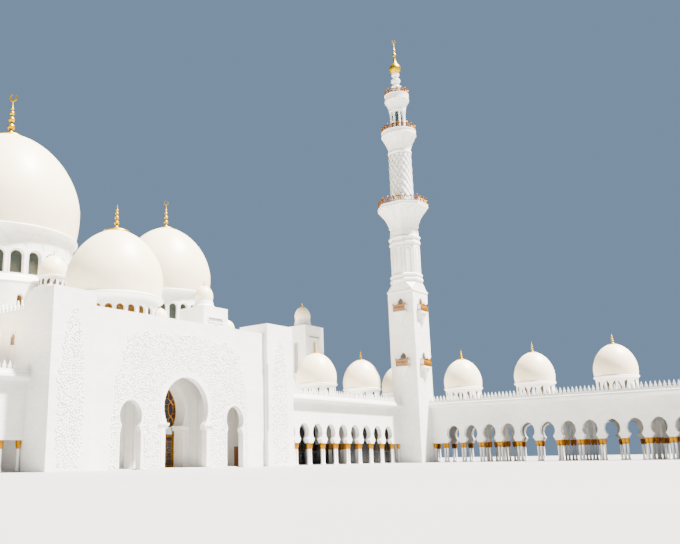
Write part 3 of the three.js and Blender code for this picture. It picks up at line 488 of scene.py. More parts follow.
def sweep(path, section, closed=False):
    """A section of (out, up) points carried along a level x, y path, mitred at its corners."""
    n, m = len(path), len(section)
    points, faces = [], []
    for i, (x, y) in enumerate(path):
        before = path[i - 1] if closed or i > 0 else None
        after = path[(i + 1) % n] if closed or i < n - 1 else None
        ways = []
        for a, b in ((before, (x, y)), ((x, y), after)):
            if a is not None and b is not None:
                length = math.hypot(b[0] - a[0], b[1] - a[1])
                ways.append(((b[1] - a[1]) / length, -(b[0] - a[0]) / length))
        if len(ways) == 1:
            out, stretch = ways[0], 1.0
        else:
            sx, sy = ways[0][0] + ways[1][0], ways[0][1] + ways[1][1]
            size = math.hypot(sx, sy)
            out = (sx / size, sy / size)
            stretch = 1 / max(out[0] * ways[0][0] + out[1] * ways[0][1], 0.2)
        for o, z in section:
            points.append((x + out[0] * o * stretch, y + out[1] * o * stretch, z))
    for i in range(n if closed else n - 1):
        a, b = i * m, (i + 1) % n * m
        faces += [(a + j, b + j, b + (j + 1) % m, a + (j + 1) % m) for j in range(m)]
    if not closed:
        faces += [tuple(range(m - 1, -1, -1)), tuple(range((n - 1) * m, n * m))]
    return points, faces


def tube(route, radius, sides=6, closed=False):
    """A round bar along a route of x, y, z points."""
    n = len(route)
    points, faces = [], []
    for i, here in enumerate(route):
        before = route[i - 1] if closed or i > 0 else here
        after = route[(i + 1) % n] if closed or i < n - 1 else here
        way = (Vector(after) - Vector(before)).normalized()
        side = way.cross(Vector((0, 0, 1)) if abs(way.z) < 0.95 else Vector((1, 0, 0))).normalized()
        if i and side.dot(last) < 0:
            side = -side
        last = side
        up = side.cross(way)
        for k in range(sides):
            angle = 2 * math.pi * k / sides
            points.append(tuple(Vector(here) + radius * (math.cos(angle) * side + math.sin(angle) * up)))
    for i in range(n if closed else n - 1):
        a, b = i * sides, (i + 1) % n * sides
        faces += [(a + k, b + k, b + (k + 1) % sides, a + (k + 1) % sides) for k in range(sides)]
    if not closed:
        faces += [tuple(range(sides - 1, -1, -1)), tuple(range((n - 1) * sides, n * sides))]
    return points, faces


def arc(cx, cz, radius, start, end, steps, squash=1.0):
    """Points on a round stretch, in degrees from +X."""
    angles = [math.radians(start + (end - start) * i / steps) for i in range(steps + 1)]
    return [(cx + radius * math.cos(a), cz + radius * squash * math.sin(a)) for a in angles]


def horseshoe(x, sill, arch, steps=14, grow=0.0):
    """A horseshoe arch's line from its left foot over the point to its right foot."""
    rise, wide = arch["apex"] - arch["wide_z"] + grow * 1.1, arch["wide"] + grow
    inset = (rise * rise - wide * wide) / (2 * wide)
    radius, full = wide + inset, math.atan2(rise, inset)
    half = [(arch["foot"] + grow, sill), (arch["foot"] + grow, arch["foot_z"]),
            (arch["pinch"] + grow, arch["pinch_z"])]
    below = arch["wide_z"] - arch["pinch_z"]
    for i in range(1, 6):
        share = i / 6
        bow = math.sin(share * math.pi / 2)
        half.append((arch["pinch"] + grow + (wide - arch["pinch"] - grow) * bow,
                     arch["pinch_z"] + below * share))
    for i in range(steps):
        angle = full * i / steps
        half.append((radius * math.cos(angle) - inset, arch["wide_z"] + radius * math.sin(angle)))
    left = [(x - dx, z) for dx, z in half]
    return left + [(x, arch["wide_z"] + rise)] + [(x + dx, z) for dx, z in reversed(half)]


# Geometry Nodes for what repeats

def repeat_tree(name, place):
    """A node tree that copies its own mesh to places, joins the copies and gives them a material."""
    tree = bpy.data.node_groups.new(name, "GeometryNodeTree")
    face = tree.interface
    face.new_socket("Geometry", in_out="INPUT", socket_type="NodeSocketGeometry")
    face.new_socket("Geometry", in_out="OUTPUT", socket_type="NodeSocketGeometry")
    into = add(tree, "NodeGroupInput")
    points, turn = place(tree, face, into)
    face.new_socket("Material", in_out="INPUT", socket_type="NodeSocketMaterial")
    copies = add(
        tree, "GeometryNodeInstanceOnPoints",
        inputs={"Points": points, "Instance": into.outputs["Geometry"], "Rotation": turn},
    )
    real = add(tree, "GeometryNodeRealizeInstances", inputs={0: copies.outputs[0]})
    whole = add(tree, "GeometryNodeMergeByDistance", inputs={"Geometry": real.outputs[0], "Distance": 2e-5})
    painted = add(
        tree, "GeometryNodeSetMaterial",
        inputs={"Geometry": whole.outputs[0], "Material": into.outputs["Material"]},
    )
    add(tree, "NodeGroupOutput", inputs={0: painted.outputs[0]})
    return tree


def around_axis(tree, face, into):
    """Places round an upright axis, one every full turn / Count."""
    face.new_socket("Count", in_out="INPUT", socket_type="NodeSocketInt")
    face.new_socket("Centre", in_out="INPUT", socket_type="NodeSocketVector")
    points = add(
        tree, "GeometryNodePoints",
        inputs={"Count": into.outputs["Count"], "Position": into.outputs["Centre"]}
    )
    step = add(tree, "ShaderNodeMath", {"operation": "DIVIDE"}, {0: 2 * math.pi, 1: into.outputs["Count"]})
    number = add(tree, "GeometryNodeInputIndex")
    angle = add(tree, "ShaderNodeMath", {"operation": "MULTIPLY"}, {0: number.outputs[0], 1: step.outputs[0]})
    turn = add(tree, "ShaderNodeCombineXYZ", inputs={"Z": angle.outputs[0]})
    return points.outputs[0], turn.outputs[0]


def along_line(tree, face, into):
    """Places at even steps from Start to End, turned by Turn."""
    face.new_socket("Count", in_out="INPUT", socket_type="NodeSocketInt")
    face.new_socket("Start", in_out="INPUT", socket_type="NodeSocketVector")
    face.new_socket("End", in_out="INPUT", socket_type="NodeSocketVector")
    face.new_socket("Turn", in_out="INPUT", socket_type="NodeSocketFloat")
    line = add(
        tree, "GeometryNodeMeshLine", {"mode": "END_POINTS"},
        {
            "Count": into.outputs["Count"], "Start Location": into.outputs["Start"],
            "Offset": into.outputs["End"],
        },
    )
    turn = add(tree, "ShaderNodeCombineXYZ", inputs={"Z": into.outputs["Turn"]})
    return line.outputs[0], turn.outputs[0]


RING_TREE = repeat_tree("copies_round_an_axis", around_axis)
ROW_TREE = repeat_tree("copies_along_a_line", along_line)


def repeated(name, shapes, material, tree, values, crease=35):
    """One shape repeated by a node tree, as a plain mesh in its place at model scale."""
    unit = bpy.data.objects.new(name + "_unit", into_mesh(name + "_unit", sewn(shapes), crease))
    bpy.context.scene.collection.objects.link(unit)
    modifier = unit.modifiers.new("repeat", "NODES")
    modifier.node_group = tree
    for socket in tree.interface.items_tree:
        if socket.in_out == "INPUT" and socket.name != "Geometry":
            value = material if socket.name == "Material" else values[socket.name]
            modifier[socket.identifier] = value
    bpy.context.view_layer.update()
    graph = bpy.context.evaluated_depsgraph_get()
    made = bpy.data.meshes.new_from_object(unit.evaluated_get(graph))
    unit.modifiers.remove(modifier)
    bpy.data.objects.remove(unit)
    whole = bmesh.new()
    whole.from_mesh(made)
    bpy.data.meshes.remove(made)
    return whole


def ring_of(name, shapes, material, count, centre=(0.0, 0.0), replaces=(), crease=35, turn=0.0):
    """Copies of the shapes round a vertical axis, as one piece."""
    if turn:
        shapes = [moved(shape, (0.0, 0.0, 0.0), turn) for shape in shapes]
    values = {"Count": count, "Centre": (centre[0] * SCALE, centre[1] * SCALE, 0.0)}
    whole = repeated(name, shapes, material, RING_TREE, values, crease)
    return settle(bpy.data.objects.new(name, into_mesh(name, whole, crease)), material, BODY, replaces)


def rows_of(name, shapes, material, rows, crease=35):
    """Rows of one shape. Each row is (start, end, count, turn in radians)."""
    whole = bmesh.new()
    for start, end, count, turn in rows:
        values = {
            "Count": count, "Start": tuple(c * SCALE for c in start), "End": tuple(c * SCALE for c in end),
            "Turn": turn,
        }
        row = repeated(name, shapes, material, ROW_TREE, values, crease)
        mesh = into_mesh(name + "_row", row, crease)
        whole.from_mesh(mesh)
        bpy.data.meshes.remove(mesh)
    return settle(bpy.data.objects.new(name, into_mesh(name, whole, crease)), material)


# Domes

def dome_radius(height, rise):
    """A dome's radius at a height above its widest ring, both as shares of its widest radius."""
    crown, blunt = rise
    if height < 0:
        return 1 - 0.26 * height * height
    return max(1 - (height / crown) ** 1.8, 0.0) ** blunt


def dome_line(radius, widest, rise, steps=40, foot=DOME_FOOT):
    """The outside of a dome from its foot to its crown."""
    line = []
    for i in range(steps + 1):
        share = math.sin(i / steps * math.pi / 2)
        height = foot + (rise[0] - foot) * share
        line.append((radius * dome_radius(height, rise), widest + radius * height))
    line[-1] = (0.0, line[-1][1])
    return line


def dome_shell(name, centre, radius, widest, rise, wall, replaces=(), sides=96, steps=40):
    """A large dome's marble shell, hollow underneath."""
    outside = dome_line(radius, widest, rise, steps)
    inside = [(max(r - wall, 0.0), z) for r, z in dome_line(radius, widest, rise, steps // 2)[:-1]]
    crown = widest + radius * rise[0] - wall
    inside = [(r, min(z, crown)) for r, z in inside if r > 0] + [(0.0, crown)]
    profile = outside + inside[::-1]
    return piece(name, [lathe(profile, sides, centre)], DOME_MARBLE, replaces=replaces)


def bead_line(foot, size, girth):
    """A turned finial above its skirt: four balls with waists between them, then a spike."""
    wide = size * girth
    line = [(wide * 0.13, foot), (wide * 0.075, foot + size * 0.05), (wide * 0.05, foot + size * 0.1)]
    for middle, radius in ((0.22, 0.104), (0.44, 0.09), (0.63, 0.068), (0.77, 0.05)):
        line += arc(0, foot + size * middle, wide * radius, -62, 62, 6, 0.85 / girth)
        line.append((wide * radius * 0.36, foot + size * (middle + radius * 0.95)))
    return line + [(wide * 0.016, foot + size * 0.93), (0.0, foot + size)]


def skirt_line(radius, widest, rise, reach):
    """A gold saucer that hugs the dome's crown out to the given radius and flares up to the beads."""
    share = reach / radius
    height = next(h / 400 for h in range(480, 0, -1) if dome_radius(h / 400, rise) >= share)
    edge = widest + radius * height
    crown = widest + radius * rise[0]
    line = [(reach * 0.97, edge - 0.03 * reach), (reach * 1.04, edge), (reach * 1.06, edge + 0.06 * reach),
            (reach * 1.03, edge + 0.13 * reach), (reach * 0.95, edge + 0.15 * reach)]
    for i in range(1, 7):
        share = 1 - i / 7
        surface = edge + (crown - edge) * (1 - share ** 1.8)
        line.append((reach * share, surface + 0.12 * reach + 0.12 * reach * (1 - share) ** 2.5))
    return line


def crescent(centre, z, size, turn):
    """An upright crescent, nearly closed at its top, thick below and thin at its horns."""
    points, faces = [], []
    steps, thick = 28, size * 0.2
    for i in range(steps + 1):
        angle = math.radians(-258 + 336 * i / steps)
        fullness = math.sin(math.pi * i / steps)
        width = size * (0.36 * fullness ** 0.6 + 0.05)
        for out, deep in ((1, -1), (1, 1), (-1, 1), (-1, -1)):
            r = size - width / 2 + out * width / 2
            x, y = r * math.cos(angle), deep * thick / 2 * (0.3 + fullness)
            points.append((x, y, z + r * math.sin(angle)))
    for i in range(steps):
        a, b = i * 4, i * 4 + 4
        faces += [(a + k, b + k, b + (k + 1) % 4, a + (k + 1) % 4) for k in range(4)]
    faces += [(3, 2, 1, 0), (steps * 4, steps * 4 + 1, steps * 4 + 2, steps * 4 + 3)]
    return moved((points, faces), (centre[0], centre[1], 0.0), turn)


def finial(name, centre, radius, widest, rise, reach, spike, tip, replaces=(), sides=32, girth=1.0):
    """Gold skirt, beads and spike, and a crescent where the tip is above the spike."""
    crown = widest + radius * rise[0]
    foot = crown + 0.2 * reach
    skirt = skirt_line(radius, widest, rise, reach)
    beads = bead_line(foot, spike - foot, girth)
    profile = [(0.0, skirt[0][1])] + [p for p in skirt if p[0] > beads[0][0] * 1.15] + beads
    shapes = [lathe(profile, sides, centre)]
    if tip > spike:
        size = (tip - spike) / 2
        shapes.append(crescent(centre, spike + size - 0.04, size, math.radians(-50)))
    return piece(name, shapes, GOLD, replaces=replaces)


def window_sector(count, spec):
    """One bay of a round wall, about the -Y direction, with a round-headed opening splayed inwards."""
    half_turn = math.pi / count
    wall, inner = spec["radius"], spec["inner"]
    sill, spring, foot, top = spec["sill"], spec["spring"], spec["foot"], spec["top"]
    outside_half, inside_half = spec["outer_half"], spec["glass_half"]

    def outer_radius(z):
        if z <= spec["cove"]:
            return wall
        share = (z - spec["cove"]) / (top - spec["cove"])
        return wall + (spec["top_radius"] - wall) * (1 - math.sqrt(max(1 - share * share, 0.0)))

    def skin(radius_at, half, head):
        """Grid of one face of the bay: the outline of its opening, and faces round it."""
        jamb = half / radius_at(sill)
        arch = arc(0, spring, 1.0, 180, 0, 12)
        opening = [(jamb * x, spring + (z - spring) * head) for x, z in arch]
        shares = [i / 5 for i in range(1, 6)]
        side_levels = [foot, sill, spring] + [spring + (top - spring) * s for s in shares]
        points, faces = [], []

        def put(angle, z):
            r = radius_at(z) / (math.cos(angle) if spec.get("flat") else 1.0)
            points.append((r * math.sin(angle), -r * math.cos(angle), z))
            return len(points) - 1

        edges = {-1: [put(-jamb, z) for z in side_levels], 1: [put(jamb, z) for z in side_levels]}
        beside = {-1: [], 1: []}
        for sign in (-1, 1):
            for share in (0.5, 1.0):
                near = edges[sign]
                far = [put(sign * (jamb + (half_turn - jamb) * share), z) for z in side_levels]
                for i in range(len(side_levels) - 1):
                    loop = (far[i], near[i], near[i + 1], far[i + 1])
                    faces.append(loop if sign < 0 else loop[::-1])
                edges[sign] = far
                beside[sign].append((far[0], far[-1]))
        left, right = 0, len(side_levels)
        columns = []
        for index, (angle, z) in enumerate(opening):
            if index == 0:
                columns.append([left + 2 + i for i in range(6)])
            elif index == len(opening) - 1:
                columns.append([right + 2 + i for i in range(6)])
            else:
                columns.append([put(angle, z)] + [put(angle, z + (top - z) * s) for s in shares])
        for a, b in zip(columns, columns[1:]):
            faces += [(a[i], b[i], b[i + 1], a[i + 1]) for i in range(5)]
        lows = [(left, left + 1)]
        for index in range(1, len(opening) - 1):
            angle = opening[index][0]
            lows.append((put(angle, foot), put(angle, sill)))
        lows.append((right, right + 1))
        faces += [(a[0], b[0], b[1], a[1]) for a, b in zip(lows, lows[1:])]
        outline = [low[1] for low in lows] + [column[0] for column in reversed(columns)]
        left_ends, right_ends = beside[-1][::-1], beside[1]
        foot_row = [e[0] for e in left_ends] + [low[0] for low in lows] + [e[0] for e in right_ends]
        top_row = [e[1] for e in left_ends] + [c[-1] for c in columns] + [e[1] for e in right_ends]
        return points, faces, outline, foot_row, top_row

    outside = skin(outer_radius, outside_half, outside_half)
    inside = skin(lambda z: inner, inside_half, inside_half)
    shift = len(outside[0])
    points = outside[0] + inside[0]
    faces = outside[1] + [tuple(i + shift for i in reversed(face)) for face in inside[1]]
    a, b = outside[2], [i + shift for i in inside[2]]
    n = len(a)
    faces += [(a[i], b[i], b[(i + 1) % n], a[(i + 1) % n]) for i in range(n)]
    for row, way in ((3, 1), (4, -1)):
        a, b = outside[row], [i + shift for i in inside[row]]
        faces += [(a[i], b[i], b[i + 1], a[i + 1])[::way] for i in range(len(a) - 1)]
    return points, faces


def drum_pieces(name, centre, spec, glass, replaces=(), turn=0.0):
    """The windowed wall of a drum with its panes, their lattice and raised archivolts."""
    count = spec["count"]
    bay = window_sector(count, spec)
    ring_of(f"{name}_drum_wall", [bay], MARBLE, count, centre, replaces, turn=turn)
    jamb, spring, sill = spec["glass_half"], spec["spring"], spec["sill"]
    at = -(spec["inner"] + 0.06)
    outline = [(-jamb, sill), (jamb, sill)] + arc(0, spring, jamb, 0, 180, 10)
    pane = prism(outline, at, at + 0.08)
    ring_of(f"{name}_drum_panes", [pane], glass, count, centre, turn=turn)
    lattice = window_lattice(jamb, sill, spring, at, spec["mesh"])
    ring_of(f"{name}_drum_lattice", lattice, CAMES, count, centre, turn=turn)
    rib = spec["outer_half"] * 0.09
    hood = spec["outer_half"] + rib
    line = [(-hood, sill)] + arc(0, spring, hood, 180, 0, 14) + [(hood, sill)]
    route = [(spec["radius"] * math.sin(x / spec["radius"]), -spec["radius"] * math.cos(x / spec["radius"]),
              z)
             for x, z in line]
    ring_of(f"{name}_drum_archivolts", [tube(route, rib, 6)], MARBLE, count, centre, turn=turn)


def window_lattice(half, sill, spring, at, cells):
    """Diamond bars over a pane, cut to its round head, with a rim."""
    bars = []
    width = 2 * half / cells
    thick = width * 0.036
    top = spring + half

    def inside(x, z):
        return abs(x) <= half and z >= sill and (z <= spring or math.hypot(x, z - spring) <= half)

    rows = int((top - sill) / width) + 1
    for slant in (-1, 1):
        for k in range(-rows - cells, rows + cells + 1):
            run = []
            for i in range(121):
                x = -half + 2 * half * i / 120
                z = sill + k * width + slant * (x + half) * 1.3
                if inside(x, z):
                    run.append((x, z))
            if len(run) > 3:
                (xa, za), (xb, zb) = run[0], run[-1]
                length = math.hypot(xb - xa, zb - za)
                nx, nz = -(zb - za) / length * thick, (xb - xa) / length * thick
                corners = [(xa - nx, za - nz), (xb - nx, zb - nz), (xb + nx, zb + nz), (xa + nx, za + nz)]
                bars.append(prism(corners, at - 0.05, at))
    rim = [(-half, sill)] + arc(0, spring, half, 180, 0, 10) + [(half, sill)]
    inner = [(x * 0.93, sill + (z - sill) * 0.985) for x, z in rim]
    bars.append(band(inner, rim, at - 0.09, at))
    return bars


MAIN = {
    "count": 24, "radius": 14.2, "inner": 13.3, "foot": 36.9, "sill": 37.7, "spring": 41.35, "cove": 43.6,
    "top": 46.95, "top_radius": 15.0, "outer_half": 1.36, "glass_half": 1.08, "mesh": 5,
}
SIDE = {
    "count": 24, "radius": 10.8, "inner": 10.05, "foot": 33.9, "sill": 34.6, "spring": 37.85, "cove": 39.7,
    "top": 41.65, "top_radius": 11.25, "outer_half": 1.02, "glass_half": 0.8, "mesh": 4,
}
FOYER = {
    "count": 24, "radius": 7.8, "inner": 7.2, "foot": 22.53, "sill": 23.9, "spring": 26.65, "cove": 27.75,
    "top": 28.75, "top_radius": 8.1, "outer_half": 0.76, "glass_half": 0.6, "mesh": 4,
}


def ring_moulding(name, centre, inner, foot, reach, height, sides=96):
    """A round moulding under a dome: a cove, a bold bright roll and a fillet."""
    roll = arc(reach - height * 0.32, foot + height * 0.58, height * 0.32, -80, 90, 6)
    profile = [(inner, foot), (reach - height * 0.75, foot), (reach - height * 0.55, foot + height * 0.22)]
    profile += roll + [(reach - height * 0.6, foot + height), (inner, foot + height)]
    return piece(name, [lathe(profile, sides, centre)], MARBLE)


def scallops(name, centre, count, radius_low, radius_high, foot, top, rib, turn=0.0):
    """Faint blind arches in the cove above the windows."""
    half = math.pi / count
    route = []
    for i in range(13):
        share = math.sin(math.pi * i / 12)
        z = foot + (top - foot) * share ** 0.7
        r = radius_low + (radius_high - radius_low) * share
        angle = -half + 2 * half * i / 12
        route.append((r * math.sin(angle), -r * math.cos(angle), z))
    ring_of(name, [tube(route, rib, 5)], MARBLE, count, centre, turn=turn)


def main_dome():
    """The main dome with its drum, mouldings, scallops, base and finial."""
    centre = (0.0, HALL_DOME_Y)
    radius, widest = 15.67, 54.0
    dome_shell("main_dome_marble", centre, radius, widest, MAIN_RISE, 0.6, ("main_dome",), 128, 56)
    ring_moulding("main_dome_ring", centre, 13.4, 46.8, 15.5, 0.95, 128)
    drum_pieces("main", centre, MAIN, TEAL_GLASS, ("main_drum",), DRUM_TURN)
    scallops("main_drum_scallops", centre, 24, 14.22, 14.6, 43.2, 45.9, 0.055, DRUM_TURN)
    ledge = [(13.4, 36.2), (16.85, 35.3), (16.9, 35.55), (16.4, 35.8), (14.9, 36.95), (14.75, 37.3),
             (13.4, 37.3)]
    piece("main_drum_ledge", [lathe(ledge, 24, centre, BASE_TURN + math.pi / 24 - math.pi / 2)], MARBLE)
    main_base(centre)
    finial("main_dome_finial", centre, radius, widest, MAIN_RISE, 2.7, 80.3, 82.0, ("main_finial",), 40)


def main_base(centre):
    """The twenty-four-sided wall under the main drum, with a tall window on each side."""
    spec = {
        "flat": True, "radius": 16.8 * math.cos(math.pi / 24), "inner": 15.6, "foot": BLOCK_ROOF + 0.03,
        "sill": 29.4, "spring": 32.4, "cove": 40.0, "top": 35.4, "top_radius": 16.8, "outer_half": 0.62,
        "glass_half": 0.5,
    }
    ring_of("main_base_wall", [window_sector(24, spec)], PANELS, 24, centre, turn=BASE_TURN)
    half, sill, spring, at = spec["glass_half"], spec["sill"], spec["spring"], -spec["inner"] - 0.05
    pane = prism([(-half, sill), (half, sill)] + arc(0, spring, half, 0, 180, 8), at, at + 0.08)
    ring_of("main_base_panes", [pane], AMBER_GLASS, 24, centre, turn=BASE_TURN)
    ring_of("main_base_lattice", window_lattice(half, sill, spring, at, 3), CAMES, 24, centre, turn=BASE_TURN)


def side_dome(name, side):
    """One of the two side domes with its drum, podium and finial."""
    centre = (side * SIDE_DOME_X, HALL_DOME_Y)
    radius, widest = 11.73, 46.9
    dome_shell(f"{name}_dome_marble", centre, radius, widest, SIDE_RISE, 0.5, (f"{name}_dome",), 112, 48)
    ring_moulding(f"{name}_dome_ring", centre, 10.1, 41.5, 11.65, 0.75, 112)
    drum_pieces(name, centre, SIDE, TEAL_GLASS, (f"{name}_drum",))
    scallops(f"{name}_drum_scallops", centre, 24, 10.82, 11.0, 39.3, 41.0, 0.045)
    ledge = [(10.1, 31.5), (12.6, 31.5), (12.6, 32.1), (12.1, 32.6), (11.1, 33.7), (11.1, 34.05),
             (10.1, 34.05)]
    piece(f"{name}_drum_ledge", [lathe(ledge, 96, centre)], MARBLE)
    x, y, half = centre[0], centre[1], PODIUM_HALF
    corners = [(x - half, y - half), (x + half, y - half), (x + half, y + half), (x - half, y + half)]
    wall = [(-1.0, PODIUM_FOOT + 0.03), (0.0, PODIUM_FOOT + 0.03), (0.0, PODIUM_TOP - 0.5),
            (0.25, PODIUM_TOP - 0.3), (0.25, PODIUM_TOP), (-1.0, PODIUM_TOP)]
    shapes = [sweep(corners, wall, True)]
    lid = [(x - half + 0.9, x + half - 0.9), (y - half + 0.9, y + half - 0.9)]
    shapes.append(box(lid[0], lid[1], (PODIUM_TOP - 0.9, PODIUM_TOP - 0.02)))
    piece(f"{name}_podium_walls", shapes, PANELS)
    finial(f"{name}_dome_finial", centre, radius, widest, SIDE_RISE, 1.95, 67.1, 68.3, (f"{name}_finial",),
           32)


def foyer_dome():
    """The foyer's dome with its low drum, ring and finial."""
    centre = (0.0, FOYER_DOME_Y)
    radius, widest = 8.6, 32.6
    dome_shell("foyer_dome_marble", centre, radius, widest, FOYER_RISE, 0.45, ("foyer_dome",), 112, 48)
    ring_moulding("foyer_dome_ring", centre, 7.2, 28.55, 8.75, 0.85, 112)
    drum_pieces("foyer", centre, FOYER, AMBER_GLASS, ("foyer_drum",))
    finial("foyer_dome_finial", centre, radius, widest, FOYER_RISE, 2.3, 47.1, 0.0, ("foyer_finial",), 32)


def small_dome(name, centre, radius, widest, base, windows, glass, finial_height):
    """A dome of the arcades or the axis turret over its low drum, with a ring, small windows and a finial."""
    fit = 0.03
    line = dome_line(radius + fit, widest, SMALL_RISE, 26)
    piece(f"{name}_marble", [lathe(line + [(0.0, line[0][1])], 64, centre)], DOME_MARBLE)
    foot = widest - 0.4 * radius
    neck = radius * 0.965
    ring = [(0.0, foot - 0.45), (neck * 0.97, foot - 0.45), (neck * 0.985, foot - 0.2),
            (radius * 1.01, foot - 0.08)]
    ring += arc(radius * 1.0, foot + 0.1, 0.13, -70, 90, 4) + [(0.0, foot + 0.23)]
    piece(f"{name}_ring", [lathe(ring, 64, centre)], MARBLE)
    low = foot - 0.43
    wall = [(0.0, base), (neck * 0.94, base), (neck * 0.94, low), (0.0, low)]
    # The drum's core behind the posts is dark, as painted shade inside its openings
    piece(f"{name}_drum", [lathe(wall, 64, centre)], glass)
    half_turn = math.pi / windows
    post = 0.4 * half_turn
    r0, r1 = neck * 0.93, neck * 0.975
    head = low - (low - base) * 0.1
    points = []
    for angle in (half_turn - post, half_turn + post):
        for r in (r0, r1):
            for z in (base + 0.1, low + 0.02):
                points.append((r * math.sin(angle), -r * math.cos(angle), z))
    posts = (points, [(0, 1, 3, 2), (4, 6, 7, 5), (0, 4, 5, 1), (2, 3, 7, 6), (0, 2, 6, 4), (1, 5, 7, 3)])
    ring_of(f"{name}_posts", [posts], MARBLE, windows, centre)
    bands = [
        lathe([(r0, head), (r1, head), (r1, low + 0.05), (r0, low + 0.05)], 64, centre),
        lathe([(r0, base), (r1 + 0.06, base), (r1 + 0.06, base + (low - base) * 0.12),
               (r0, base + (low - base) * 0.12)],
              64, centre),
    ]
    piece(f"{name}_bands", bands, MARBLE)
    crown = widest + radius * SMALL_RISE[0]
    spike = crown + finial_height
    finial(f"{name}_finial", centre, radius + fit, widest, SMALL_RISE, radius * 0.24, spike, 0.0, (), 20,
           1.35)


def turret_domes():
    """The little domes of the four corner turrets and of the axis turret."""
    for side, name in ((-1, "left"), (1, "right")):
        for x0, which in ((TURRET_INNER, "inner"), (TURRET_OUTER, "outer")):
            centre = (side * (x0 + TURRET_SIZE / 2), HALL_FRONT + TURRET_SIZE / 2)
            collar = [(0.0, TURRET_TOP), (2.25, TURRET_TOP), (2.25, 33.0), (2.0, 33.35), (2.0, 33.7),
                      (1.86, 34.0),
                      (1.86, 34.3), (0.0, 34.3)]
            piece(f"{name}_{which}_turret_collar", [lathe(collar, 64, centre)], MARBLE)
            line = dome_line(1.93, 35.3, SMALL_RISE, 26) + [(0.0, 35.3 + DOME_FOOT * 1.93)]
            piece(f"{name}_{which}_turret_dome", [lathe(line, 64, centre)], DOME_MARBLE)
            finial(f"{name}_{which}_turret_finial", centre, 1.93, 35.3, SMALL_RISE, 0.5, 38.75, 0.0, (), 20,
                   1.7)
    small_dome("axis_dome", (0.0, AXIS_Y), 2.8, 37.5, AXIS_TOP, 14, DRUM_OPENING_SHADE, 1.4)


def arcade_domes():
    """The small domes over the wings, the corner and the side arcade."""
    wing_y = WING_FRONT + ARCADE_DEPTH / 2
    places = [(f"right_wing_dome_{i}", (WING_FIRST + 4 * i * BAY, wing_y)) for i in range(3)]
    places += [(f"left_wing_dome_{i}", (-(WING_FIRST + 4 * i * BAY), wing_y)) for i in range(2)]
    side_x = SIDE_FRONT + ARCADE_DEPTH / 2
    places.append(("side_arcade_dome_corner", (side_x, CORNER_DOME_Y)))
    places += [(f"side_arcade_dome_{i}", (side_x, SIDE_FIRST - 4 * i * BAY)) for i in range(3)]
    for name, centre in places:
        small_dome(name, centre, 4.3, 18.2, ARCADE_ROOF, 22, DRUM_OPENING_SHADE, 2.3)


# Parapets and cornices

def merlon(size=1.0):
    """One merlon, pointed and waisted like a tulip, in its own X, Z plane."""
    half = [(0.4, 0.0), (0.4, 0.14), (0.2, 0.28), (0.23, 0.4), (0.33, 0.54), (0.22, 0.72), (0.13, 0.82),
            (0.16, 0.95),
            (0.09, 1.14), (0.035, 1.3)]
    outline = half + [(0.0, 1.42)] + [(-x, z) for x, z in reversed(half)]
    return prism([(x * size, z * size) for x, z in outline], -0.09, 0.09)


def merlon_row(a, b, z, pitch=0.83):
    """Where a row of merlons runs from a to b: both ends, how many, and which way they face."""
    length = math.hypot(b[0] - a[0], b[1] - a[1])
    count = max(int(length / pitch), 1) + 1
    turn = math.atan2(b[1] - a[1], b[0] - a[0])
    return (a[0], a[1], z), (b[0], b[1], z), count, turn


def wing_ends():
    """The far ends of the left wing, the right wing and the side arcade."""
    left_end = -(WING_FIRST + (LEFT_ARCHES - 0.5) * BAY + 0.75 + ARCADE_WALL)
    right_end = SIDE_FRONT - CORNICE_REACH
    side_end = SIDE_FIRST - (SIDE_ARCHES - 0.5) * BAY - 0.75 - ARCADE_WALL
    return left_end, right_end, side_end


def cornices():
    """Moulded cornices along the arcades, over the roof slabs' edges."""
    left_end, right_end, side_end = wing_ends()
    front = WING_FRONT - CORNICE_REACH
    back = WING_FRONT + ARCADE_DEPTH + CORNICE_REACH
    x_in, x_out = SIDE_FRONT - CORNICE_REACH, SIDE_FRONT + ARCADE_DEPTH + CORNICE_REACH
    section = [(-0.1, 12.0), (0.0, 12.0), (0.1, 12.1), (0.16, 12.22), (0.36, 12.4), (0.42, 12.56),
               (0.38, 12.72),
               (0.3, 12.78), (0.34, 12.9), (0.3, 12.98), (0.12, 13.1), (0.03, 13.5), (-0.1, 13.5)]
    runs = [
        [(PYLON_OUTER + 0.02, front), (MINARET_X - MINARET_HALF - 0.02, front)],
        [(left_end, front), (-PYLON_OUTER - 0.02, front)],
        [(left_end, back), (left_end, front)],
        [(x_in, MINARET_Y - MINARET_HALF - 0.02), (x_in, side_end)],
        [(x_in, side_end), (x_out, side_end)],
        [(x_out, side_end), (x_out, back)],
        [(x_out, back), (PYLON_OUTER + 0.05, back)],
        [(-PYLON_OUTER - 0.05, back), (left_end, back)],
    ]
    piece("arcade_cornices", [sweep(run, section) for run in runs], MARBLE)


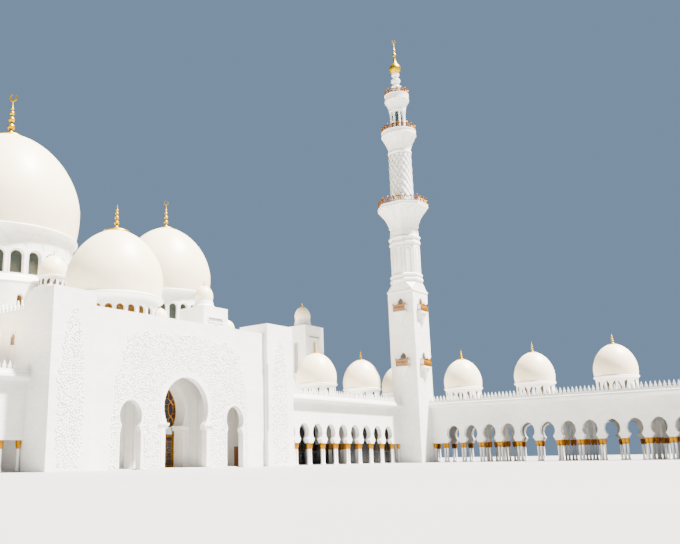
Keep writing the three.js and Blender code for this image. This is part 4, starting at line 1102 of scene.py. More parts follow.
def parapets():
    """The rows of merlons on the roofs."""
    left_end, right_end, side_end = wing_ends()
    front, back = WING_FRONT - CORNICE_REACH + 0.18, WING_FRONT + ARCADE_DEPTH + CORNICE_REACH - 0.18
    x_in, x_out = SIDE_FRONT - CORNICE_REACH + 0.18, SIDE_FRONT + ARCADE_DEPTH + CORNICE_REACH - 0.18
    z = PARAPET_TOP - 0.02
    corner = MINARET_X - MINARET_HALF - 0.4
    rows = [
        merlon_row((PYLON_OUTER + 0.4, front), (corner, front), z),
        merlon_row((PYLON_OUTER + 0.4, back), (x_out - 0.5, back), z),
        merlon_row((left_end + 0.3, front), (-PYLON_OUTER - 0.4, front), z),
        merlon_row((left_end + 0.3, back), (-PYLON_OUTER - 0.4, back), z),
        merlon_row((x_in, side_end + 0.3), (x_in, MINARET_Y - MINARET_HALF - 0.4), z),
        merlon_row((x_out, side_end + 0.3), (x_out, back - 0.4), z),
    ]
    rows_of("arcade_merlons", [merlon(0.86)], MARBLE, rows)
    rows = []
    z = 18.18
    a, b = TURRET_INNER + TURRET_SIZE + 0.4, TURRET_OUTER - 0.4
    for side in (-1, 1):
        rows.append(merlon_row((side * a, HALL_FRONT + 0.18), (side * b, HALL_FRONT + 0.18), z, 1.0))
        rows.append(merlon_row((side * (HALL_SIDE - 0.18), HALL_FRONT + TURRET_SIZE + 0.4),
                               (side * (HALL_SIDE - 0.18), HALL_BACK - 0.4), z, 1.0))
        rows.append(merlon_row((side * (BLOCK_HALF + 0.5), HALL_BACK - 0.18),
                               (side * (HALL_SIDE - 0.6), HALL_BACK - 0.18), z, 1.0))
    z = BLOCK_ROOF
    rows.append(merlon_row((-BLOCK_HALF + 0.3, HALL_FRONT + 0.2), (-8.9, HALL_FRONT + 0.2), z, 1.0))
    rows.append(merlon_row((8.9, HALL_FRONT + 0.2), (BLOCK_HALF - 0.3, HALL_FRONT + 0.2), z, 1.0))
    rows.append(merlon_row((-BLOCK_HALF + 0.3, HALL_BACK - 0.2), (BLOCK_HALF - 0.3, HALL_BACK - 0.2), z, 1.0))
    for side in (-1, 1):
        rows.append(merlon_row((side * (BLOCK_HALF - 0.2), HALL_FRONT + 0.8),
                               (side * (BLOCK_HALF - 0.2), HALL_BACK - 0.8), z, 1.0))
        edge = side * 25.42
        rows.append(merlon_row((edge, 5.7), (edge, 21.3), FOYER_ROOF, 1.0))
    rows_of("hall_merlons", [merlon()], MARBLE, rows)


# Arcade columns

def column_and_capital(x, y=0.0):
    """A column's shaft with its base, and its swelling gilded capital."""
    shaft = [(0.0, 0.0), (0.32, 0.0), (0.32, 0.2), (0.26, 0.27), (0.26, 0.36), (0.212, 0.44), (0.212, 3.12),
             (0.0, 3.12)]
    capital = [(0.0, 3.08), (0.25, 3.08), (0.28, 3.15), (0.25, 3.22), (0.28, 3.34), (0.34, 3.54),
               (0.365, 3.76),
               (0.36, 3.96), (0.352, 4.05), (0.372, 4.12), (0.372, 4.27), (0.0, 4.27)]
    return moved(lathe(shaft, 12), (x, y, 0.0)), moved(lathe(capital, 14), (x, y, 0.0))


def palm_leaf():
    """One palm leaf standing out from a capital, to be set round it."""
    points, faces = [], []
    for ring, (r, z,
               half) in enumerate(((0.27, 3.2, 0.05), (0.33, 3.5, 0.08), (0.36, 3.76, 0.07),
                                   (0.385, 3.98, 0.02))):
        points += [(-half, -r, z), (0.0, -r - 0.03, z), (half, -r, z)]
        if ring:
            a, b = ring * 3 - 3, ring * 3
            faces += [(a, a + 1, b + 1, b), (a + 1, a + 2, b + 2, b + 1)]
    back = [(x * 0.8, y + 0.1, z) for x, y, z in points]
    n = len(points)
    faces += [tuple(i + n for i in reversed(face)) for face in faces]
    points += back
    rim = [0, 3, 6, 9, 10, 11, 8, 5, 2, 1]
    faces += [(rim[i], rim[(i + 1) % 10], rim[(i + 1) % 10] + n, rim[i] + n) for i in range(10)]
    return points, faces


def columns():
    """All columns of the arcades where the part sets them: pairs below the piers, one by each wall."""
    front, back = WING_FRONT + 0.5, WING_FRONT + ARCADE_DEPTH - 0.5
    near, far = SIDE_FRONT + 0.5, SIDE_FRONT + ARCADE_DEPTH - 0.5
    first = WING_FIRST - BAY / 2
    side_first = SIDE_FIRST + BAY / 2
    quarter = math.pi / 2

    def run(x, y, count, step, turn):
        end = (x, y - step * (count - 1), 0.0) if turn else (x + step * (count - 1), y, 0.0)
        return (x, y, 0.0), end, count, turn

    rows = [
        run(first, front, WING_ARCHES + 1, BAY, 0.0), run(first, back, 14, BAY, 0.0),
        run(-first, front, LEFT_ARCHES + 1, -BAY, 0.0), run(-first, back, LEFT_ARCHES + 1, -BAY, 0.0),
        run(near, side_first, SIDE_ARCHES + 1, BAY, quarter),
        run(far, side_first + 4 * BAY, 17, BAY, quarter),
    ]
    pair = [column_and_capital(x) for x in (-COLUMN_OFFSET, COLUMN_OFFSET)]
    by_walls = PYLON_OUTER + 0.003 + COLUMN_REACH
    singles = [
        run(by_walls, front, 2, MINARET_X - MINARET_HALF - COLUMN_REACH - by_walls, 0.0),
        run(by_walls, back, 2, 87.772 - by_walls, 0.0),
        ((-by_walls, front, 0.0), (-by_walls, back, 0.0), 2, 0.0),
        ((near, -1.54, 0.0), (far, 16.767, 0.0), 2, 0.0),
    ]
    alone = column_and_capital(0.0)
    leaves = [moved(palm_leaf(), (0, 0, 0), 2 * math.pi * i / 8) for i in range(8)]
    pair_leaves = [moved(leaf, (x, 0, 0)) for x in (-COLUMN_OFFSET, COLUMN_OFFSET) for leaf in leaves]
    for name, shapes, material, places in (
        ("arcade_paired_shafts", [shaft for shaft, capital in pair], MARBLE, rows),
        ("arcade_front_capitals", [capital for shaft, capital in pair], GILT, rows[::2]),
        ("arcade_front_leaves", pair_leaves, GILT, rows[::2]),
        # The back capitals and their leaves take the darker gilt as painted shade
        ("arcade_back_capitals", [capital for shaft, capital in pair], PAINTED_SHADE_GILT, rows[1::2]),
        ("arcade_back_leaves", pair_leaves, PAINTED_SHADE_GILT, rows[1::2]),
        ("arcade_end_shafts", [alone[0]], MARBLE, singles),
        ("arcade_end_capitals", [alone[1]], GILT, singles),
        ("arcade_end_leaves", leaves, GILT, singles),
    ):
        rows_of(name, shapes, material, places)


CROSS_ARCH = dict(BAY_ARCH, foot=1.28, pinch=0.92, wide=1.42, apex=7.9)
CROSS_PIERS = (1.0, 4.25, 8.25, 12.1)


def arched_panel(left, right, top, arch, y0, y1):
    """The wall above and beside one horseshoe arch, from the arch's spring line to the top."""
    middle = (left + right) / 2
    line = horseshoe(middle, BAY_ARCH["foot_z"] - 0.05, arch)
    n = len(line)
    inner, outer = [], []
    for i, (x, z) in enumerate(line):
        edge = left if i < n // 2 else right
        if z < arch["wide_z"] + 0.01:
            inner.append((x, z))
            outer.append((edge, z))
            if i < n // 2 and line[i + 1][1] >= arch["wide_z"] + 0.01:
                inner.append((x, z))
                outer.append((edge, top))
            continue
        if i > n // 2 and line[i + 1][1] < arch["wide_z"] + 0.01:
            inner.append((x, z))
            outer.append((middle + (x - middle) * (right - left) / 2 / arch["wide"], top))
            inner.append((x, z))
            outer.append((edge, top))
            continue
        inner.append((x, z))
        outer.append((middle + (x - middle) * (right - left) / 2 / arch["wide"], top))
    return band(inner, outer, y0, y1)


def cross_walls():
    """Arched walls across the arcades on either side of each dome, on columns of their own."""
    panels = [arched_panel(a + 0.005, b - 0.005, ARCADE_WALL_TOP - 0.05, CROSS_ARCH, -0.35, 0.35)
              for a, b in zip(CROSS_PIERS, CROSS_PIERS[1:])]
    quarter = math.pi / 2
    wing = [WING_FIRST + i * BAY for i in (1.5, 2.5, 5.5, 6.5)]
    side = [SIDE_FIRST - i * BAY for i in (1.5, 2.5, 9.5, 10.5)]
    rows = [
        ((wing[0], WING_FRONT, 0.0), (wing[2], WING_FRONT, 0.0), 2, quarter),
        ((wing[1], WING_FRONT, 0.0), (wing[3], WING_FRONT, 0.0), 2, quarter),
        ((-wing[0], WING_FRONT, 0.0), (-wing[1], WING_FRONT, 0.0), 2, quarter),
        ((SIDE_FRONT, side[0], 0.0), (SIDE_FRONT, side[2], 0.0), 3, 0.0),
        ((SIDE_FRONT, side[1], 0.0), (SIDE_FRONT, side[3], 0.0), 3, 0.0),
    ]
    # The cross walls and their shafts are greyed as painted shade inside the arcades
    rows_of("arcade_cross_walls", panels, PAINTED_SHADE_MARBLE, rows)
    stand = [column_and_capital(x, y) for x in CROSS_PIERS[1:3] for y in (-COLUMN_OFFSET, COLUMN_OFFSET)]
    rows_of("arcade_inner_shafts", [shaft for shaft, capital in stand], PAINTED_SHADE_MARBLE, rows)
    # The inner capitals take the darker gilt as painted shade
    rows_of("arcade_inner_capitals", [capital for shaft, capital in stand], PAINTED_SHADE_GILT, rows)


def wing_glazing():
    """Near-black glass in slim bars along the inside of both wings' back walls, dark as painted shade seen
    through the back arches.
    """
    y = WING_FRONT + ARCADE_DEPTH - ARCADE_WALL - 0.06
    pane, bars = [], []
    corner = SIDE_FRONT + ARCADE_DEPTH - ARCADE_WALL - 0.08
    for x0, x1 in ((PYLON_OUTER + 0.05, corner), (-55.6, -PYLON_OUTER - 0.05)):
        outline = [(x0, 0.05), (x1, 0.05), (x1, ARCADE_WALL_TOP - 0.1), (x0, ARCADE_WALL_TOP - 0.1)]
        pane.append(prism(outline, y - 0.02, y + 0.02))
        bars += [box((x0, x1), (y - 0.06, y + 0.03), (z, z + 0.09)) for z in (0.05, 2.6, 5.0, 8.6)]
        count = int((x1 - x0) / BAY)
        bars += [box((x0 + i * (x1 - x0) / count - 0.05, x0 + i * (x1 - x0) / count + 0.05),
                     (y - 0.06, y + 0.03),
                     (0.05, ARCADE_WALL_TOP - 0.1)) for i in range(count + 1)]
    # The pane's near-black paints the shade seen through the wings' back arches
    piece("wing_back_glass_painted_shade", pane, DARK_GLASS)
    piece("wing_back_glazing_bars", bars, CAMES)


# Entrance portal and door

PORTAL_FIELD = [(14.4, 0.3), (14.5, 5.0), (14.2, 10.0), (14.0, 13.0), (12.8, 15.2), (12.5, 17.4),
                (11.8, 19.2), (10.4, 19.8),
                (5.0, 20.3), (0.0, 20.8)]
PYLON_FIELD = [(1.6, 0.7), (1.8, 1.8), (2.0, 7.3), (1.85, 13.8), (1.5, 17.7), (0.87, 20.4), (0.12, 22.4)]


def both_halves(half):
    """An outline from its right half, which runs upwards."""
    return half + [(-x, z) for x, z in reversed(half) if x > 0]


def within(outline, x, z):
    """Whether a point lies inside an outline."""
    inside = False
    for (xa, za), (xb, zb) in zip(outline, outline[1:] + outline[:1]):
        if (za > z) != (zb > z) and x < xa + (z - za) / (zb - za) * (xb - xa):
            inside = not inside
    return inside


def leaf_tree():
    """A node tree that strews the flagged faces of its mesh, as one leaf, over its other faces."""
    tree = bpy.data.node_groups.new("leaves_over_a_field", "GeometryNodeTree")
    face = tree.interface
    face.new_socket("Geometry", in_out="INPUT", socket_type="NodeSocketGeometry")
    face.new_socket("Geometry", in_out="OUTPUT", socket_type="NodeSocketGeometry")
    for name, kind in (("Spacing", "Float"), ("Seed", "Int"), ("Material", "Material")):
        face.new_socket(name, in_out="INPUT", socket_type="NodeSocket" + kind)
    into = add(tree, "NodeGroupInput")
    flag = add(tree, "GeometryNodeInputNamedAttribute", {"data_type": "BOOLEAN"}, {"Name": "leaf"})
    parts = add(
        tree, "GeometryNodeSeparateGeometry", {"domain": "FACE"},
        {"Geometry": into.outputs["Geometry"], "Selection": flag.outputs[0]},
    )
    spots = add(
        tree, "GeometryNodeDistributePointsOnFaces", {"distribute_method": "POISSON"},
        {"Mesh": parts.outputs["Inverted"], "Distance Min": into.outputs["Spacing"], "Density Max": 4000.0,
         "Seed": into.outputs["Seed"]},
    )
    angle = add(tree, "FunctionNodeRandomValue", {"data_type": "FLOAT"}, {2: 0.0, 3: 2 * math.pi, "Seed": 1})
    size = add(tree, "FunctionNodeRandomValue", {"data_type": "FLOAT"}, {2: 0.7, 3: 1.25, "Seed": 2})
    turn = add(tree, "ShaderNodeCombineXYZ", inputs={"Y": angle.outputs[1]})
    copies = add(
        tree, "GeometryNodeInstanceOnPoints",
        inputs={"Points": spots.outputs["Points"], "Instance": parts.outputs["Selection"],
                "Rotation": turn.outputs[0], "Scale": size.outputs[1]},
    )
    real = add(tree, "GeometryNodeRealizeInstances", inputs={0: copies.outputs[0]})
    painted = add(
        tree, "GeometryNodeSetMaterial",
        inputs={"Geometry": real.outputs[0], "Material": into.outputs["Material"]},
    )
    add(tree, "NodeGroupOutput", inputs={0: painted.outputs[0]})
    return tree


LEAF_TREE = leaf_tree()


def strewn(name, unit, fields, spacing, seed):
    """Copies of a carved unit strewn over flat fields that face -Y."""
    source = bpy.data.objects.new(name + "_unit", into_mesh(name + "_unit", sewn([unit]), 20))
    leaf_faces = len(source.data.polygons)
    whole = bmesh.new()
    whole.from_mesh(source.data)
    field = sewn(fields)
    ground = bpy.data.meshes.new(name + "_field")
    field.to_mesh(ground)
    field.free()
    whole.from_mesh(ground)
    whole.to_mesh(source.data)
    whole.free()
    bpy.data.meshes.remove(ground)
    flag = source.data.attributes.new("leaf", "BOOLEAN", "FACE")
    flag.data.foreach_set("value", [i < leaf_faces for i in range(len(source.data.polygons))])
    bpy.context.scene.collection.objects.link(source)
    modifier = source.modifiers.new("strew", "NODES")
    modifier.node_group = LEAF_TREE
    values = {"Spacing": spacing * SCALE, "Seed": seed, "Material": CARVED}
    for socket in LEAF_TREE.interface.items_tree:
        if socket.in_out == "INPUT" and socket.name != "Geometry":
            modifier[socket.identifier] = values[socket.name]
    bpy.context.view_layer.update()
    made = bpy.data.meshes.new_from_object(source.evaluated_get(bpy.context.evaluated_depsgraph_get()))
    source.modifiers.remove(modifier)
    bpy.data.objects.remove(source)
    if made.attributes.get("leaf"):
        made.attributes.remove(made.attributes["leaf"])
    return settle(bpy.data.objects.new(name, made), CARVED)


def field_cells(outline, holes, centre, y, cell=0.3):
    """Square cells of a flat field that lie inside its outline and clear of the holes."""
    xs, zs = [x for x, z in outline], [z for x, z in outline]
    points, faces = [], []
    for i in range(int((max(xs) - min(xs)) / cell)):
        for k in range(int((max(zs) - min(zs)) / cell)):
            x, z = min(xs) + i * cell, min(zs) + k * cell
            mx, mz = x + cell / 2, z + cell / 2
            if within(outline, mx, mz) and not any(within(hole, mx, mz) for hole in holes):
                a = len(points)
                points += [(centre + x + p * cell, y, z + q * cell) for p,
                           q in ((0, 0), (1, 0), (1, 1), (0, 1))]
                faces.append((a, a + 1, a + 2, a + 3))
    return points, faces


def carved_relief():
    """Low carved relief of leaves and curling stems over the portal wall and both pylons."""
    holes = [horseshoe(0.0, 0.0, CENTRE_ARCH, grow=1.0)]
    holes += [horseshoe(side * SIDE_ARCH_X, 0.0, SIDE_ARCH, grow=0.5) for side in (-1, 1)]
    fields = [field_cells(both_halves(PORTAL_FIELD), holes, 0.0, PORTAL_FRONT)]
    middle = (PYLON_INNER + PYLON_OUTER) / 2
    fields += [field_cells(both_halves(PYLON_FIELD), [], side * middle, PYLON_FRONT) for side in (-1, 1)]
    blade = ([(0.0, 0.02, -0.24), (0.14, 0.02, 0.0), (0.0, 0.02, 0.26), (-0.14, 0.02, 0.0),
              (0.0, -0.13, 0.02)],
             [(0, 1, 4), (1, 2, 4), (2, 3, 4), (3, 0, 4), (0, 3, 2, 1)])
    strewn("portal_relief_leaves", blade, fields, 0.33, 4)
    curl = [(0.5 * (1 - t / 14) * math.cos(0.42 * t), -0.02,
             0.5 * (1 - t / 14) * math.sin(0.42 * t)) for t in range(13)]
    strewn("portal_relief_stems", tube(curl, 0.055, 4), fields, 1.05, 9)


def arch_band(x, arch, width, y0, y1):
    """A raised band round a horseshoe arch."""
    inner = horseshoe(x, 0.16, arch, grow=0.015)
    return band(inner, horseshoe(x, 0.16, arch, grow=width), y0, y1)


def portal_trim():
    """Smooth bands round the three arches, imposts at the middle arch and strips on the inner wall."""
    front = PORTAL_FRONT
    bands = [arch_band(0.0, CENTRE_ARCH, 0.85, front - 0.07, front + 0.1)]
    bands += [arch_band(side * SIDE_ARCH_X, SIDE_ARCH, 0.36, front - 0.06, front + 0.1) for side in (-1, 1)]
    bands.append(arch_band(0.0, CENTRE_ARCH, 0.6, 4.82, 5.0))
    piece("portal_arch_bands", bands, MARBLE)
    section = [(-0.15, 6.0), (0.06, 6.0), (0.1, 6.16), (0.1, 6.3), (0.2, 6.42), (0.27, 6.55), (0.27, 6.78),
               (-0.15, 6.78)]
    ledges = []
    for face, back, reach in ((front, 0.4, 5.75), (4.9, 7.0, 5.4)):
        ledge = sweep([(4.02, back), (4.02, face), (reach, face)], section)
        ledges += [ledge, flipped(ledge)]
    piece("portal_imposts", ledges, MARBLE)
    strip = prism([(-0.1, 0.2), (0.1, 0.2), (0.1, 20.5), (-0.1, 20.5)], -0.09, 0.05)
    groove = prism([(-0.24, 0.2), (-0.16, 0.2), (-0.16, 20.5), (-0.24, 20.5)], -0.05, 0.05)
    rows = [((side * 5.9, 4.9, 0.0), (side * 16.7, 4.9, 0.0), 7, 0.0) for side in (-1, 1)]
    rows_of("inner_wall_strips", [strip, groove], MARBLE, rows)
    frame_line = [(16.5, 0.15), (16.5, 3.5), (18.1, 3.5), (18.1, 0.15)]
    leaf_line = [(16.66, 0.15), (16.66, 3.34), (17.94, 3.34), (17.94, 0.15)]
    panels = [prism([(a, b), (a + 0.44, b), (a + 0.44, c), (a, c)], 4.76, 4.86)
              for a in (16.78, 17.36) for b, c in ((0.35, 1.5), (1.65, 3.2))]
    door = prism([(16.66, 0.15), (17.94, 0.15), (17.94, 3.34), (16.66, 3.34)], 4.8, 4.92)
    piece("vestibule_side_door", [door, band(leaf_line, frame_line, 4.74, 4.95)] + panels, TIMBER)


def runs_within(route, keep):
    """The stretches of a route whose points pass a test."""
    runs, run = [], []
    for point in route:
        if keep(*point):
            run.append(point)
        else:
            runs.append(run)
            run = []
    return [run for run in runs + [run] if len(run) > 2]


def tracery(x0, x1, z0, z1, pitch, radius, keep, y, thick):
    """Interlaced rings of gilded bar, cut off where they leave their opening."""
    bars = []
    for i in range(int((x1 - x0) / pitch) + 2):
        for k in range(int((z1 - z0) / pitch) + 2):
            cx, cz = x0 + i * pitch, z0 + k * pitch
            ring = arc(cx, cz, radius, 0, 360, 96)
            for run in runs_within(ring, keep):
                bars.append(tube([(x, y, z) for x, z in run], thick, 4))
    return bars


def door_screen():
    """The gilded screen in the inner archway: frame, smoked glass and tracery over a pale transom."""
    outer = horseshoe(0.0, DOOR_HEAD, CENTRE_ARCH, grow=-0.01)
    inner = horseshoe(0.0, DOOR_HEAD, CENTRE_ARCH, grow=-0.18)
    frame_bars = [band(inner, outer, 7.08, 7.32)]
    frame_bars += [box(sorted((side * 4.2, side * 4.37)), (7.1, 7.3), (0.16, 5.3)) for side in (-1, 1)]
    frame_bars += [box((-4.3, 4.3), (7.08, 7.32), (DOOR_HEAD, 5.45)),
                   box((-3.95, 3.95), (7.08, 7.32), (6.6, 6.85))]
    frame_bars += [box((x - 0.07, x + 0.07), (7.1, 7.3), (5.4, 6.65)) for x in (-2.1, 0.0, 2.1)]
    for side in (-1, 1):
        for z in (0.9, 4.5):
            knuckle = moved(lathe([(0.0, z - 0.12), (0.05, z - 0.12), (0.05, z), (0.0, z)], 12),
                            (side * HINGE_X, HINGE_Y, 0.0))
            frame_bars += [knuckle,
                           box(sorted((side * HINGE_X, side * 4.28)), (7.28, 7.41), (z - 0.12, z - 0.01))]
    piece("door_screen_frame", frame_bars, BRONZE_GILT, replaces=("door_screen",))
    piece("door_screen_glass", [prism(inner[2:-2], 7.18, 7.22)], DARK_GLASS)
    transom = prism([(-4.0, 5.4), (4.0, 5.4), (3.75, 6.62), (-3.75, 6.62)], 7.14, 7.26)
    piece("door_transom_glass", [transom], PALE_GLASS)
    hole = horseshoe(0.0, DOOR_HEAD, CENTRE_ARCH, grow=-0.06)
    bars = tracery(-4.8, 4.8, 7.2, 14.4, 2.4, 1.75, lambda x, z: z > 6.68 and within(hole, x, z), 7.2, 0.07)
    piece("door_screen_tracery", bars, BRONZE_GILT)


def door_leaf(side, name):
    """One glazed leaf with its frame, tracery, hinge straps and pull bar."""
    x0, x1, z0, z1 = 0.03, 4.12, 0.22, 5.17
    bars = [box((x0, x0 + 0.16), (7.15, 7.25), (z0, z1)), box((x1 - 0.16, x1), (7.15, 7.25), (z0, z1)),
            box((x0 + 0.12, x1 - 0.12), (7.15, 7.25), (z0, z0 + 0.3)),
            box((x0 + 0.12, x1 - 0.12), (7.15, 7.25), (z1 - 0.16, z1)),
            tube([(0.3, 7.12, 1.7), (0.3, 7.05, 1.85), (0.3, 7.05, 3.25), (0.3, 7.12, 3.4)], 0.035, 6)]
    for z in (0.9, 4.5):
        bars.append(moved(lathe([(0.0, z + 0.01), (0.05, z + 0.01), (0.05, z + 0.12), (0.0, z + 0.12)], 12),
                          (HINGE_X, HINGE_Y, 0.0)))
        bars.append(box((3.9, 4.13), (7.24, 7.41), (z + 0.01, z + 0.12)))
    body = f"{name}_door"
    hand = (lambda shape: shape) if side > 0 else flipped
    piece(f"{name}_leaf_frame", [hand(bar) for bar in bars], BRONZE_GILT, body, (f"{name}_door_leaf",))
    glass = box((x0 + 0.12, x1 - 0.12), (7.185, 7.215), (z0 + 0.25, z1 - 0.12))
    piece(f"{name}_leaf_glass", [hand(glass)], DARK_GLASS, body)
    rings = tracery(0.0, 4.2, 0.4, 5.1, 1.7, 1.25,
                    lambda x, z: x0 + 0.04 < x < x1 - 0.04 and z0 + 0.14 < z < z1 - 0.04, 7.2, 0.045)
    piece(f"{name}_leaf_tracery", [hand(bar) for bar in rings], BRONZE_GILT, body)


def facing_left(shape, x, y):
    """Turns a shape that faces -Y so that it faces -X, at x and y."""
    return moved(shape, (x, y, 0.0), -math.pi / 2)


def wall_windows():
    """Glazing and frames of the foyer's side windows."""
    glass, frames = [], []
    slim = [(-0.72, 17.4), (0.72, 17.4)] + arc(0, 18.6, 0.72, 0, 180, 8, 1.25)
    glass.append(facing_left(prism(slim, -0.03, 0.03), -25.54, 8.2))
    sunk_in = [(-0.7, 14.6), (-0.7, 17.3), (0.7, 17.3), (0.7, 14.6)]
    sunk_out = [(-0.85, 14.45), (-0.85, 17.45), (0.85, 17.45), (0.85, 14.45)]
    frames.append(facing_left(band(sunk_in, sunk_out, -0.07, 0.05), -BLOCK_HALF, 8.2))
    rim_in = [(-0.62, 17.5)] + arc(0, 18.6, 0.62, 180, 0, 8, 1.25) + [(0.62, 17.5)]
    rim_out = [(-0.78, 17.5)] + arc(0, 18.6, 0.78, 180, 0, 8, 1.25) + [(0.78, 17.5)]
    frames.append(facing_left(band(rim_in, rim_out, -0.09, 0.05), -BLOCK_HALF, 8.2))
    piece("foyer_window_glass", glass + [flipped(shape) for shape in glass], AMBER_GLASS)
    piece("foyer_window_frames", frames + [flipped(shape) for shape in frames], MARBLE)


def turret_panels():
    """Grey panels and blind arched niches on the turrets, set a little proud: their grey paints the shade of
    sunk recesses.
    """
    panels, frames = [], []
    y = HALL_FRONT
    for x0, x1, z0, z1 in ((27.1, 31.2, 29.4, 30.1), (60.9, 64.8, 29.5, 29.95)):
        panels.append(prism([(x0, z0), (x1, z0), (x1, z1), (x0, z1)], y - 0.03, y + 0.05))
        inner = [(x0, z0), (x0, z1), (x1, z1), (x1, z0), (x0, z0 - 0.001)]
        outer = [(x0 - 0.14, z0 - 0.14), (x0 - 0.14, z1 + 0.14), (x1 + 0.14, z1 + 0.14),
                 (x1 + 0.14, z0 - 0.14),
                 (x0 - 0.14, z0 - 0.141)]
        frames.append(band(inner[:-1], outer[:-1], y - 0.12, y + 0.05))
        frames.append(box((x0 - 0.14, x1 + 0.14), (y - 0.12, y + 0.05), (z0 - 0.3, z0 - 0.005)))
    niche = [(-0.6, 25.4), (0.6, 25.4)] + arc(0, 27.9, 0.6, 0, 180, 10, 1.4)
    rim_in = [(-0.6, 25.4)] + arc(0, 27.9, 0.6, 180, 0, 10, 1.4) + [(0.6, 25.4)]
    rim_out = [(-0.78, 25.4)] + arc(0, 27.9, 0.78, 180, 0, 10, 1.4) + [(0.78, 25.4)]
    for x in (29.2, 62.9):
        panels.append(moved(prism(niche, y - 0.02, y + 0.05), (x, 0, 0)))
        frames.append(moved(band(rim_in, rim_out, y - 0.12, y + 0.05), (x, 0, 0)))
    tall = [(-0.6, 21.1), (0.6, 21.1)] + arc(0, 27.6, 0.6, 0, 180, 10, 1.4)
    tall_in = [(-0.6, 21.1)] + arc(0, 27.6, 0.6, 180, 0, 10, 1.4) + [(0.6, 21.1)]
    tall_out = [(-0.78, 21.1)] + arc(0, 27.6, 0.78, 180, 0, 10, 1.4) + [(0.78, 21.1)]
    for x in (TURRET_OUTER, -TURRET_OUTER - TURRET_SIZE):
        panels.append(facing_left(prism(tall, -0.02, 0.05), x, 24.9))
        frames.append(facing_left(band(tall_in, tall_out, -0.12, 0.05), x, 24.9))
    # The panels and niches are grey as painted shade of a recess, and their frames are white
    for shapes, name, material in ((panels, "turret_panels_painted_recess_shade", GREY_INLAY_AND_RECESS_SHADE),
                                   (frames, "turret_panel_frames", MARBLE)):
        piece(name, shapes + [flipped(shape) for shape in shapes[:6]], material)


def podium_domes():
    """Little domes at the corners of both podiums."""
    stone, domes = [], []
    for side in (-1, 1):
        for dx in (-11.4, 11.4):
            for dy in (-11.4, 11.4):
                centre = (side * SIDE_DOME_X + dx, HALL_DOME_Y + dy)
                collar = [(0.0, PODIUM_TOP - 0.1), (1.75, PODIUM_TOP - 0.1), (1.75, 32.3), (1.6, 32.6),
                          (1.6, 32.9),
                          (1.88, 33.05), (1.88, 33.25), (0.0, 33.25)]
                stone.append(lathe(collar, 40, centre))
                line = dome_line(1.9, 33.9, SMALL_RISE, 20) + [(0.0, 33.9 + DOME_FOOT * 1.9)]
                domes.append(lathe(line, 40, centre))
                finial(f"podium_finial_{len(domes)}", centre, 1.9, 33.9, SMALL_RISE, 0.46, 37.3, 0.0, (), 12,
                       1.7)
    piece("podium_dome_collars", stone, MARBLE)
    piece("podium_corner_domes", domes, DOME_MARBLE)


# The minaret

def at_minaret(shape, turn=0.0):
    """Turns a shape and sets it on the minaret's axis."""
    return moved(shape, (MINARET_X, MINARET_Y, 0.0), turn)


def minaret_square():
    """Mouldings at the head of the square shaft."""
    h, top = MINARET_HALF, MINARET_SQUARE_TOP
    corners = [(-h, -h), (h, -h), (h, h), (-h, h)]
    cap = [(-0.2, top - 0.5), (0.0, top - 0.5), (0.16, top - 0.3), (0.16, top - 0.12), (0.06, top),
           (-0.2, top)]
    piece("minaret_square_cap", [at_minaret(sweep(corners, cap, True))], MARBLE)


def minaret_octagon():
    """Eight-sided stage: corner broaches, banded mouldings and a blind niche on each face."""
    half = MINARET_HALF
    corner = half / math.cos(math.pi / 8)
    turn = math.pi / 8
    c, foot, top = corner, MINARET_SQUARE_TOP + 0.03, 55.3
    profile = [
        (2.6, foot), (c, foot), (c, 41.7), (c + 0.28, 42.0), (c + 0.28, 42.35), (c + 0.05, 42.7),
        (c + 0.05, 42.95),
        (c + 0.24, 43.2), (c + 0.24, 43.45), (c - 0.12, 43.8), (c - 0.12, 50.9), (c + 0.12, 51.2),
        (c + 0.12, 51.5),
        (c - 0.05, 51.75), (c - 0.05, 52.3), (c + 0.2, 52.55), (c + 0.2, 52.85), (c - 0.2, 53.2),
        (c - 0.3, top), (2.6, top),
    ]
    broach_top = 41.7
    shapes = [at_minaret(lathe(profile, 8, (0, 0), turn))]
    cut = half * math.tan(math.pi / 8)
    for quarter in range(4):
        points = [(half, half, foot), (cut, half, foot), (half, cut, foot), (cut, half, broach_top),
                  (half, cut, broach_top)]
        faces = [(0, 1, 3), (0, 4, 2), (0, 3, 4), (0, 2, 1), (1, 2, 4, 3)]
        shapes.append(at_minaret((points, faces), quarter * math.pi / 2))
    piece("minaret_octagon_stage", shapes, MARBLE, replaces=("minaret_octagon",), crease=20)
    face = (c - 0.12) * math.cos(math.pi / 8)
    niche = [(-0.62, 44.6), (0.62, 44.6)] + arc(0, 49.6, 0.62, 0, 180, 8, 1.2)
    outer = [(-0.8, 44.3)] + arc(0, 49.6, 0.8, 180, 0, 10, 1.2) + [(0.8, 44.3)]
    inner = [(-0.58, 44.5)] + arc(0, 49.6, 0.58, 180, 0, 10, 1.2) + [(0.58, 44.5)]
    frames = [band(inner, outer, -face - 0.12, -face + 0.02)]
    ring_of("minaret_niche_frames", frames, MARBLE, 8, (MINARET_X, MINARET_Y))
    ring_of("minaret_niches", [prism(niche, -face - 0.02, -face + 0.02)], CARVED, 8, (MINARET_X, MINARET_Y))


def flare_radius(share, foot_radius, reach):
    """The radius of a balcony's flare at a share of its height."""
    return foot_radius + (reach - foot_radius) * share ** 1.7


